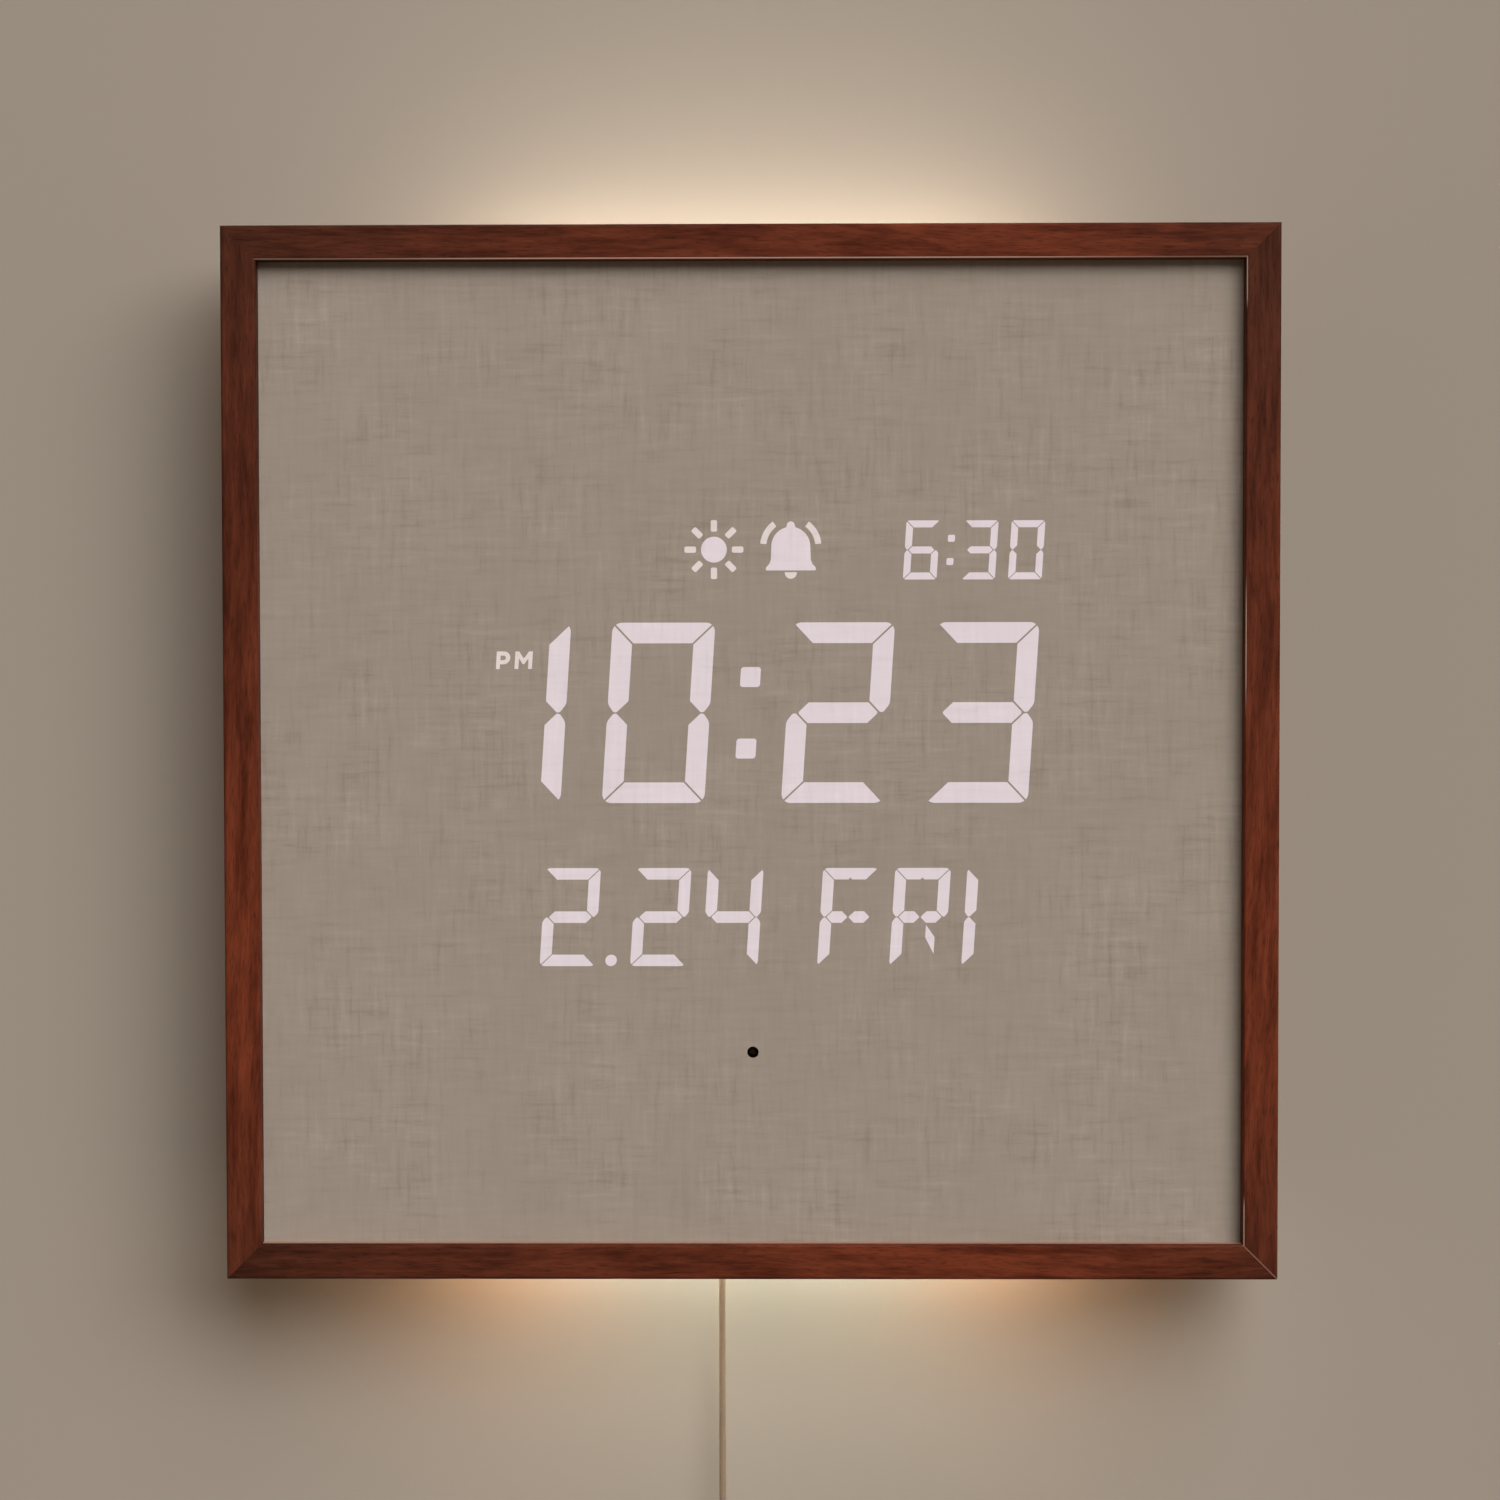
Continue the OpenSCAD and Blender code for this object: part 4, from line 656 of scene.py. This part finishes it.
def weave(place):
    """Height of the threads, and the tone of the yarn, both about 0 to 1."""
    wander = face_noise(place, WANDERS, 1.0) * WANDER_BY
    x, _, z = parts_of(stretched(place, math.pi / THREAD, 1, math.pi / THREAD))
    warp = x.maths("SINE", x + wander)
    weft = z.maths("SINE", z + wander)
    over = between(warp * weft, -0.35, 0.35)
    height = over * warp.maths("ABSOLUTE", warp) + (1 - over) * weft.maths("ABSOLUTE", weft)
    along_weft = stretched(place, 1 / SLUB_LONG, 1, 1 / SLUB_WIDE)
    along_warp = shifted(stretched(place, 1 / SLUB_WIDE, 1, 1 / SLUB_LONG), 7, 0, 3)
    thick_weft = noise(along_weft, SLUB_DETAIL, SLUB_ROUGH)
    thick_warp = noise(along_warp, SLUB_DETAIL, SLUB_ROUGH)
    patch = PATCH_LEAST + PATCH_RISE * between(face_noise(place, PATCHES, 2.0), 0.34, 0.66)
    mottle = face_noise(place, MOTTLES, 2.0)
    cloud = face_noise(place, CLOUDS, 1.0)
    streaks = slubs(thick_weft) + slubs(thick_warp)
    tone = TONE + STREAK_SHARE * patch * streaks
    tone = tone + MOTTLE_SHARE * (mottle - 0.5) + CLOUD_SHARE * (cloud - 0.5)
    return height, tone


def linen(name, lit):
    """Cloth, with the light of the display coming through it where two lit colours are given."""
    place = begin(name)
    height, tone = weave(place)
    yarn = mixed(0.98 * tone + 0.02 * height, LINEN_DARK, LINEN_LIGHT)
    sockets = {"Base Color": yarn, "Roughness": 0.88 + 0.1 * tone, "Specular IOR Level": 0.12,
               "Normal": raised(0.5 * height + 0.5 * tone, 0.06 * MM, 0.18)}
    if lit:
        sockets["Emission Color"] = mixed(tone, *lit)
        sockets["Emission Strength"] = 1.0
    return close(place, sockets)


LIT_WHITE = ((0.40, 0.360, 0.428, 1.0), (0.43, 0.388, 0.455, 1.0))
LIT_CREAM = ((0.40, 0.36, 0.372, 1.0), (0.43, 0.388, 0.40, 1.0))
WHITE_SIGNS = ("sun_disc", "bell_body")
linen_cloth = linen("linen_cloth", None)
lit_cloth = linen("lit_cloth", LIT_WHITE)
lit_cream_cloth = linen("lit_cream_cloth", LIT_CREAM)
linen_face.data.materials.append(linen_cloth)
for name, piece in signs.items():
    piece.data.materials.append(lit_cloth if name in WHITE_SIGNS else lit_cream_cloth)
dress(lit_cloth, *DIGIT_NODES)
print("linen with a thread every", THREAD / MM, "mm")

# %% [markdown]
# Wood is drawn along its grain, which is what makes a mitre show. Three noises drawn out along the stick
# make the broad figure, the fine grain and the short dark pores. They lean and wander a little,
# because no board is sawn quite along its fibres. Each stick starts dark at one end, is reddest past its
# middle and darkens again.

# %% Wood
RAIL_HALF = 150.0 * MM
# Length along the grain and width across it
FIGURE, GRAIN, PORES = (30.0 * MM, 3.4 * MM), (9.0 * MM, 1.0 * MM), (4.0 * MM, 0.42 * MM)
# How far the grain leans sideways in mm, and between which places along the stick
LEAN, LEAN_START, LEAN_END = 5.0, -20.0 * MM, 120.0 * MM
# How far the grain wanders in mm, and how often in a metre along and across the stick
WANDER, WANDERS_ALONG, WANDERS_ACROSS = 3.2, 22, 60
# Ripeness in the middle of a stick, its rise to the end, and how much is lost again there
RIPE_MIDDLE, RIPE_RISE, RIPE_LOSS = 0.754, 0.752, 0.82
# Dark, light and pore colours, and the tint of the dark end
POPLAR_SHADES = [colour(180, 150, 110), colour(216, 190, 152), colour(150, 122, 86), (0.9, 0.9, 0.9, 1.0)]
NO_TINT = (1.0, 1.0, 1.0, 1.0)


def wooden(name, along_x, seed, shades, gloss):
    """Oiled wood with its grain along X, or down along Z: place, colour, roughness and bump."""
    place = begin(name)
    x, y, z = parts_of(place)
    along, across = (x, z) if along_x else (-1 * z, x)
    lean = between(along, LEAN_START, LEAN_END) * LEAN * MM
    waves = joined(place, along * WANDERS_ALONG, across * WANDERS_ACROSS, seed)
    wander = noise(waves, 1.0) * WANDER * MM
    across = across + lean + wander

    def streaks(size, detail, rough, shift):
        """Noise drawn out along the grain."""
        length, width = size
        depth = y * (0.7 / width) + seed + shift
        return noise(joined(place, along * (1 / length), across * (1 / width), depth), detail, rough)

    figure = between(streaks(FIGURE, 2.0, 0.55, 0), 0.30, 0.70)
    grain = between(streaks(GRAIN, 3.0, 0.6, 5), 0.28, 0.72)
    pores = between(streaks(PORES, 1.0, 0.5, 9), 0.56, 0.68)
    tone = 0.56 * figure + 0.44 * grain
    reach = along / RAIL_HALF
    ripe = reach.maths("MINIMUM", RIPE_MIDDLE + RIPE_RISE * reach, 1.0)
    ripe = ripe - RIPE_LOSS * between(reach, 0.5, 1.12)
    dark, light, pore, young = shades
    wood = mixed(pores * 0.4, mixed(tone, dark, light), pore)
    wood = tinted(wood, mixed(ripe, young, NO_TINT))
    rough = gloss + 0.12 * pores + 0.08 * (1 - tone)
    return place, wood, rough, raised(0.7 * grain + 0.3 * (1 - pores), 0.05 * MM, 0.35)


place, wood, rough, bump = wooden("spacer_wood", True, 13.0, POPLAR_SHADES, 0.6)
dress(close(place, {"Base Color": wood, "Roughness": rough, "Normal": bump}), "spacer_frame")
print("spacer of poplar")

# %% [markdown]
# The frame is four sticks of oiled reddish hardwood, mitred at the corners. Pale pinkish colour is
# painted along the inner edge: a painted highlight on the arris, most in the middle of the top and in
# three places on the right, and a painted reflection of the cloth on the lip's wall at the bottom, behind
# its front. The mitre at the lower right shows as a pale line in the highlight colour.

# %% Frame sticks
FRONT_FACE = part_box("top_rail")[0].y
RAIL_SEEDS = {"top_rail": 1.0, "left_stile": 4.0, "bottom_rail": 7.0, "right_stile": 11.0}
RAIL_SHADES = [colour(66, 26, 13), colour(115, 53, 32), colour(40, 17, 8), (0.47, 0.635, 0.765, 1.0)]
RAIL_GLOSS = 0.42
# Painted reflection of the cloth on the bottom lip's wall, and painted highlight on the inner arris
PAINTED_REFLECTION = colour(161, 125, 107)
PAINTED_HIGHLIGHT = colour(206, 168, 146)
# How far from the middle of the face the painted edge lines run, and half their widths
HIGHLIGHT_AT, REFLECTION_AT = 140.3 * MM, 139.9 * MM
TOP_LINE, RIGHT_LINE, BOTTOM_LINE, MITRE_LINE = 0.28 * MM, 0.22 * MM, 0.3 * MM, 0.3 * MM
RIGHT_SHARE, MITRE_SHARE = 0.7, 0.32
# The top line is weaker toward its ends: from where to where, and by how much
FADE_START, FADE_END, FADE_SHARE = 60.0 * MM, 120.0 * MM, 0.6
# The painted highlight on the right edge shows near both ends and round one place above its middle
HIGHLIGHT_START, HIGHLIGHT_END, HIGHLIGHT_PLACE, HIGHLIGHT_REACH = 125.0 * MM, 130.0 * MM, 31.0 * MM, 22.0 * MM
# Depths behind the front at which the painted reflection on the bottom edge begins and is full
REFLECTION_START, REFLECTION_FULL = 1.8 * MM, 2.5 * MM


def painted_edge_light(rail, x, y, z):
    """Painted light on the inner edge of a stick, from 0 to 1: a highlight, at the bottom a reflection."""
    wide, tall = x.maths("ABSOLUTE", x), z.maths("ABSOLUTE", z)
    # Painted highlight on the top and right edges, painted reflection on the bottom one
    if rail == "top_rail":
        return near(z, HIGHLIGHT_AT, TOP_LINE) * (1 - FADE_SHARE * between(wide, FADE_START, FADE_END))
    if rail == "right_stile":
        at_ends = between(tall, HIGHLIGHT_START, HIGHLIGHT_END)
        lit_places = x.maths("MAXIMUM", at_ends, near(z, HIGHLIGHT_PLACE, HIGHLIGHT_REACH))
        return near(x, HIGHLIGHT_AT, RIGHT_LINE) * lit_places * RIGHT_SHARE
    if rail == "bottom_rail":
        behind = between(y, FRONT_FACE + REFLECTION_START, FRONT_FACE + REFLECTION_FULL)
        return near(tall, REFLECTION_AT, BOTTOM_LINE) * behind
    return 0.0


for rail, seed in RAIL_SEEDS.items():
    place, wood, rough, bump = wooden(rail + "_wood", rail.endswith("rail"), seed, RAIL_SHADES, RAIL_GLOSS)
    x, y, z = parts_of(place)
    mitre = near(x + z, 0.0, MITRE_LINE) * between(x, 139.0 * MM, 141.0 * MM)
    # Pale painted highlight and painted reflection along the inner edge, and the pale mitre line
    pale = x.maths("MAXIMUM", painted_edge_light(rail, x, y, z), MITRE_SHARE * mitre)
    edge_paint = PAINTED_REFLECTION if rail == "bottom_rail" else PAINTED_HIGHLIGHT
    sockets = {"Base Color": mixed(pale, wood, edge_paint), "Roughness": rough, "Specular IOR Level": 0.04,
               "Normal": bump}
    dress(close(place, sockets), rail)
print(len(RAIL_SEEDS), "sticks, front at", round(FRONT_FACE, 4))

# %% [markdown]
# Moulded plastic is never flat: the mould is spark eroded, which leaves a fine even grain, and handling
# adds faint changes of gloss. One function makes every moulded plastic on the clock, from its colour,
# its roughness and the size and depth of its grain. The light sensor is duller than the rest.

# %% Moulded plastics
# Faint clouds in a metre
PLASTIC_CLOUDS = 60
# Name, colour, roughness, size and depth of the grain in mm, change of colour, nodes
PLASTICS = [
    ("black_shell", (34, 34, 35), 0.55, 0.35, 0.05, 0.18, ["rear_housing", "battery_cover"]),
    ("black_inner", (26, 26, 28), 0.45, 0.5, 0.02, 0.15,
     ["power_socket", "alarm_buzzer", "button_switches", "cell_holder", "control_chip", "sensor_shroud"]),
    ("grey_caps", (176, 176, 172), 0.42, 0.3, 0.02, 0.05,
     ["mode_button", "up_button", "down_button", "light_button"]),
    ("grey_plungers", (88, 88, 92), 0.4, 0.3, 0.01, 0.08,
     ["mode_plunger", "up_plunger", "down_plunger", "light_plunger"]),
    ("white_wells", (226, 225, 219), 0.5, 0.6, 0.02, 0.03, ["display_reflector"]),
    ("nylon_headers", (226, 219, 200), 0.4, 0.4, 0.01, 0.04, ["board_connectors"]),
    ("plug_vinyl", (168, 157, 141), 0.48, 0.3, 0.02, 0.05, ["power_plug", "usb_plug"]),
    ("ribbon_vinyl", (150, 150, 154), 0.4, 0.5, 0.01, 0.06, ["ribbon_cable"]),
    ("red_lead_vinyl", (150, 40, 34), 0.4, 0.5, 0.01, 0.06, ["inner_leads"]),
    ("led_resin", (240, 228, 186), 0.3, 0.4, 0.01, 0.04, ["segment_leds", "strip_leds"]),
    ("film_polyester", (238, 238, 240), 0.35, 1.5, 0.005, 0.02, ["diffuser_film"]),
    ("strip_mask", (234, 234, 228), 0.4, 0.5, 0.01, 0.03, ["top_light_strip", "bottom_light_strip"]),
]


def moulded(name, shade, rough, grain_size, grain_depth, vary, shine=0.5):
    """Plastic with a fine mould grain."""
    place = begin(name)
    grain = even_noise(place, 1 / grain_size, 2.0, 0.6)
    cloud = even_noise(place, PLASTIC_CLOUDS, 3.0)
    body = mixed(0.5 * grain + 0.5 * cloud, scaled(shade, 1 - vary), scaled(shade, 1 + vary))
    sockets = {"Base Color": body, "Roughness": rough - 0.08 + 0.16 * cloud, "Specular IOR Level": shine,
               "Normal": raised(grain, grain_depth, 0.6)}
    return close(place, sockets)


for name, shade, rough, grain_size, grain_depth, vary, nodes in PLASTICS:
    dress(moulded(name, colour(*shade), rough, grain_size * MM, grain_depth * MM, vary), *nodes)
dress(moulded("sensor_resin", colour(74, 48, 32), 0.6, 0.6 * MM, 0.005 * MM, 0.1, 0.1), "light_sensor")
cord_vinyl = moulded("cord_vinyl", colour(121, 101, 81), 0.34, 1.1 * MM, 0.06 * MM, 0.28)
power_lead.data.materials.append(cord_vinyl)
print(len(PLASTICS) + 2, "plastics")

# %% [markdown]
# The panel behind the cloth is white acrylic. The wall of its sensor hole is painted dark brown: painted
# shade for the small, deep hole.

# %% Panel
# Distances from the middle of the hole
PAINT_END, PANEL_START = 1.72 * MM, 1.8 * MM


def acrylic(name):
    """White acrylic sheet with painted shade on the wall of its hole."""
    place = begin(name)
    cloud = even_noise(place, PLASTIC_CLOUDS, 3.0)
    x, _, z = parts_of(place)
    off_x, off_z = x - SENSOR[0] * MM, z - SENSOR[1] * MM
    far = x.maths("SQRT", off_x * off_x + off_z * off_z)
    # Painted shade: dark brown on the wall of the sensor hole
    painted = 1 - between(far, PAINT_END, PANEL_START)
    sheet = mixed(cloud, colour(228, 227, 222), colour(235, 234, 229))
    return close(place, {"Base Color": mixed(painted, sheet, colour(62, 40, 27)),
                         "Roughness": 0.2 + 0.1 * cloud, "Specular IOR Level": 0.2})


dress(acrylic("panel_acrylic"), "face_panel")
print("panel painted to", round(PAINT_END / MM, 2), "mm from the middle of its hole")

# %% [markdown]
# Metal parts are small, so their finish matters more than their shape: zinc plated screws with a fine
# turned sheen, blackened wood screws, the bright can of the coin cell and the nickel of the plug. Metal
# has no diffuse colour, so the detail lies in the roughness, which a noise drawn out along one axis makes
# look brushed.

# %% Metals
FINE, COARSE = 1 / (0.12 * MM), 1 / (4.0 * MM)
# Stains in a metre, and how much darker they are
STAINS, STAIN_SHARE = 300, 0.06
# Name, colour, roughness, brush marks in a metre along each axis, nodes
METALS = [
    ("zinc_plate", (186, 188, 192), 0.34, (FINE, COARSE, FINE),
     ["display_screws", "housing_screws", "control_board_screws"]),
    ("black_oxide", (58, 57, 58), 0.42, (FINE, COARSE, FINE), ["back_board_screws"]),
    ("nail_steel", (158, 160, 164), 0.4, (COARSE, FINE, FINE), ["corner_nails"]),
    ("crystal_can", (196, 197, 200), 0.28, (COARSE, FINE, FINE), ["clock_crystal"]),
    ("cell_can", (198, 197, 193), 0.22, (FINE, FINE, COARSE), ["coin_cell"]),
    ("contact_brass", (206, 172, 104), 0.3, (COARSE, FINE, FINE), ["cell_contact"]),
    ("plug_nickel", (200, 200, 202), 0.2, (FINE, FINE, COARSE), ["plug_barrel", "usb_shell"]),
]


def plated(name, shade, rough, marks):
    """Bare or plated metal with fine brushing along the axis that has few marks."""
    place = begin(name)
    brush = noise(stretched(place, *marks), 2.0, 0.6)
    stain = even_noise(place, STAINS, 3.0)
    sockets = {"Base Color": mixed(stain, scaled(shade, 1 - STAIN_SHARE), shade), "Metallic": 1.0,
               "Roughness": rough - 0.06 + 0.08 * brush + 0.06 * stain,
               "Normal": raised(brush, 0.004 * MM, 0.4)}
    return close(place, sockets)


for name, shade, rough, marks, nodes in METALS:
    dress(plated(name, colour(*shade), rough, marks), *nodes)
print(len(METALS), "metals")

# %% [markdown]
# Circuit boards are green solder mask over copper, so the tracks show as slightly paler lines, and the
# back board is brown hardboard with short pressed fibres. Both are patterns of position: tracks from the
# joints of a brick pattern, fibres from a stretched noise.

# %% Circuit boards and back board
# Units of the brick pattern in a metre, the width of a track in such units, and clouds in a metre
TRACK_CELLS, TRACK_WIDE, MASK_CLOUDS = 160.0, 0.035, 90
# Fibres and flecks in a metre along each axis
FIBRES, FLECKS = (900, 900, 260), (2200, 2200, 700)


def solder_mask(name):
    """Green lacquer with copper tracks under it."""
    place = begin(name)
    flat = place.node("ShaderNodeMapping", {}, {"Vector": place, "Rotation": (math.pi / 2, 0, 0)})
    cells = {"Vector": flat, "Scale": TRACK_CELLS, "Mortar Size": TRACK_WIDE, "Mortar Smooth": 0.2}
    tracks = place.node("ShaderNodeTexBrick", {"offset": 0.35, "squash": 0.6}, cells, out="Fac")
    cloud = even_noise(place, MASK_CLOUDS, 2.0)
    mask = mixed(cloud, colour(18, 62, 40), colour(26, 78, 50))
    return close(place, {"Base Color": mixed(tracks * 0.7, mask, colour(52, 112, 70)),
                         "Roughness": 0.3 + 0.1 * cloud, "Normal": raised(tracks, 0.03 * MM, 0.5)})


def pressed_board(name):
    """Hardboard: brown fibres pressed smooth."""
    place = begin(name)
    fibre = noise(stretched(place, *FIBRES), 4.0, 0.7)
    fleck = between(noise(shifted(stretched(place, *FLECKS), 5, 5, 5), 1.0), 0.6, 0.75)
    body = mixed(between(fibre, 0.3, 0.7), colour(84, 62, 44), colour(122, 94, 68))
    return close(place, {"Base Color": mixed(fleck * 0.6, body, colour(58, 42, 30)),
                         "Roughness": 0.6 + 0.2 * fibre, "Normal": raised(fibre, 0.05 * MM, 0.5)})


dress(solder_mask("solder_mask"), "display_board", "control_board")
dress(pressed_board("hardboard"), "back_board")
print("two circuit boards and the back board")

# %% [markdown]
# The strap is a loop fabric: a dense pile that looks almost black and catches light only at its tips.

# %% Strap fabric
# Tips of the pile in a metre, and the rows they stand in, along each axis
PILE, PILE_ROWS = 2600, (500, 90, 90)


def loop_pile(name):
    """Dense woven pile."""
    place = begin(name)
    pile = even_noise(place, PILE, 2.0, 0.7)
    rows = noise(stretched(place, *PILE_ROWS), 1.0)
    tone = between(0.7 * pile + 0.3 * rows, 0.3, 0.7)
    return close(place, {"Base Color": mixed(tone, colour(22, 22, 24), colour(48, 48, 52)),
                         "Roughness": 0.92, "Normal": raised(pile, 0.2 * MM, 0.8)})


coil_strap.data.materials.append(loop_pile("strap_pile"))
print("strap of", coil_strap.data.materials[0].name)

# %% [markdown]
# Two frosted bars in the top and bottom of the housing light the wall. Frosted acrylic glows evenly with
# soft spots over each chip, so the emission rises and falls a little along the bar, and it is warmer near
# the ends. The strength is set by the wall: the light has to leave the narrow gap behind the frame and
# still show on it.

# %% Frosted light covers
TOP_GLOW, BOTTOM_GLOW = 93.0, 138.0
TOP_MIDDLE, TOP_ENDS = (1.0, 0.99, 0.89, 1.0), (1.5, 1.33, 1.14, 1.0)
BOTTOM_MIDDLE, BOTTOM_ENDS = (0.83, 0.98, 0.92, 1.0), (5.4, 2.05, 0.31, 1.0)
# Distances from the middle of a bar: where its warm ends begin, and where they are warmest
TOP_WARM, BOTTOM_WARM, BAR_END = 44.0 * MM, 62.0 * MM, 78.0 * MM
CHIP_STEP = 10.0 * MM
# Grains of frost in a metre
FROST = 1800


def frosted_glow(name, strength, shade, ends_shade, warm_from):
    """Frosted cover, lit from within by a row of chips, with warmer ends."""
    place = begin(name)
    frost = even_noise(place, FROST, 2.0)
    x = parts_of(place)[0]
    spots = 0.5 + 0.5 * x.maths("COSINE", x * (2 * math.pi / CHIP_STEP))
    ends = between(x.maths("ABSOLUTE", x), warm_from, BAR_END)
    row = mixed(0.7 * spots + 0.3 * frost, scaled(shade, 0.9), shade)
    return close(place, {"Base Color": mixed(frost, colour(228, 224, 214), colour(240, 237, 228)),
                         "Roughness": 0.5 + 0.2 * frost, "Emission Color": mixed(ends, row, ends_shade),
                         "Emission Strength": strength})


top_glow = frosted_glow("top_frosted_glow", TOP_GLOW, TOP_MIDDLE, TOP_ENDS, TOP_WARM)
bottom_glow = frosted_glow("bottom_frosted_glow", BOTTOM_GLOW, BOTTOM_MIDDLE, BOTTOM_ENDS, BOTTOM_WARM)
dress(top_glow, "top_light_cover")
dress(bottom_glow, "bottom_light_cover")
print("glow strength", TOP_GLOW, BOTTOM_GLOW)

# %% [markdown]
# The clock hangs on a plain wall, so the backdrop is one upright sheet just behind it. Seen from behind
# it would hide the clock, so its back is clear, and it stops no light on its way to the back of the
# clock.

# %% Wall
WALL_COLOUR = colour(152, 140, 127)
WALL_HALF = 3.0
WALL_Y = 0.4 * MM
WALL_CORNERS = [(-WALL_HALF, -WALL_HALF), (WALL_HALF, -WALL_HALF), (WALL_HALF, WALL_HALF),
                (-WALL_HALF, WALL_HALF)]


def wall_paint(name):
    """Matt paint on the front, nothing from behind."""
    place = begin(name)
    front = place.node("ShaderNodeBsdfDiffuse", {}, {"Color": WALL_COLOUR, "Roughness": 0.0})
    clear = place.node("ShaderNodeBsdfTransparent", {}, {})
    behind = place.node("ShaderNodeNewGeometry", {}, {}, out="Backfacing")
    shadow = place.node("ShaderNodeLightPath", {}, {}, out="Is Shadow Ray")
    either = behind.maths("MAXIMUM", behind, shadow)
    surface = place.node("ShaderNodeMixShader", {}, {0: either, 1: front, 2: clear})
    place.node("ShaderNodeOutputMaterial", {}, {"Surface": surface})
    return place.material


wall = new_piece("wall", [(x, WALL_Y, z) for x, z in WALL_CORNERS], [(0, 1, 2, 3)])
wall.data.materials.append(wall_paint("wall_paint"))
print("wall faces", [round(v, 2) for v in wall.data.polygons[0].normal])

# %% [markdown]
# Daylight comes from a wide window on the upper right, as the shadows of the lip and of the frame say:
# they are soft, and softer sideways than up and down. Two broad sun lamps side by side are such a window,
# a weaker one above them is the light from the ceiling, and all three light the wall evenly from edge to
# edge. An area lamp stands behind, for whoever turns the clock round.

# %% Lamps
# The way from the clock to each daylight lamp, and its share of the light
DAYLIGHT = [((0.25, -1.0, 0.65), 0.39), ((0.90, -1.0, 0.65), 0.39), ((0.45, -1.0, 1.5), 0.22)]
DAYLIGHT_ANGLE = math.radians(32)
DAYLIGHT_FAR = 2.0
FILL = (0.185, 0.155, 0.125)
BACK_WAY = Vector((-0.5, 1.0, 0.8)).normalized()
BACK_FAR, BACK_SIZE, BACK_POWER = 1.7, 0.9, 40.0


def aimed(name, data, way, far):
    """A lamp at that distance on that way from the clock, turned to look at it."""
    lamp = bpy.data.objects.new(name, data)
    scene.collection.objects.link(lamp)
    lamp.location = way * far
    lamp.rotation_mode = "QUATERNION"
    lamp.rotation_quaternion = (-way).to_track_quat("-Z", "Y")


for k, (way, share) in enumerate(DAYLIGHT):
    sun_way = Vector(way).normalized()
    sun_data = bpy.data.lights.new(f"daylight_{k}", "SUN")
    sun_data.energy = share * math.pi / -sun_way.y
    sun_data.color = [1 - part for part in FILL]
    sun_data.angle = DAYLIGHT_ANGLE
    aimed(f"daylight_{k}", sun_data, sun_way, DAYLIGHT_FAR)
back_data = bpy.data.lights.new("back_lamp", "AREA")
back_data.size = BACK_SIZE
back_data.energy = BACK_POWER
aimed("back_lamp", back_data, BACK_WAY, BACK_FAR)
print(len(DAYLIGHT), "daylight lamps and a lamp behind")

# %% [markdown]
# The world fills the shadows with warmer light. Lamps and fill add up to one in each channel, so they
# show a colour as it is written. Where the world itself is seen, past the wall or in a shiny face, it is
# a pale studio grey instead.

# %% World
STUDIO_GREY = (0.80, 0.79, 0.77, 1.0)
SEEN_BY = ["Is Camera Ray", "Is Glossy Ray", "Is Transmission Ray"]
world = bpy.data.worlds.new("studio")
scene.world = world
world.use_nodes = True
world.node_tree.nodes.clear()
sky = Wire(world, None)
camera_ray, glossy_ray, clear_ray = [sky.node("ShaderNodeLightPath", {}, {}, out=kind) for kind in SEEN_BY]
seen = sky.maths("MAXIMUM", camera_ray, sky.maths("MAXIMUM", glossy_ray, clear_ray))
fill = sky.node("ShaderNodeBackground", {}, {"Color": (*FILL, 1.0), "Strength": 1.0})
shown = sky.node("ShaderNodeBackground", {}, {"Color": STUDIO_GREY, "Strength": 1.0})
backdrop = sky.node("ShaderNodeMixShader", {}, {0: seen, 1: fill, 2: shown})
sky.node("ShaderNodeOutputWorld", {}, {"Surface": backdrop})
print("fill", FILL)

# %% [markdown]
# The last step updates the view layer and closes the scene.

# %% Finish
bpy.context.view_layer.update()
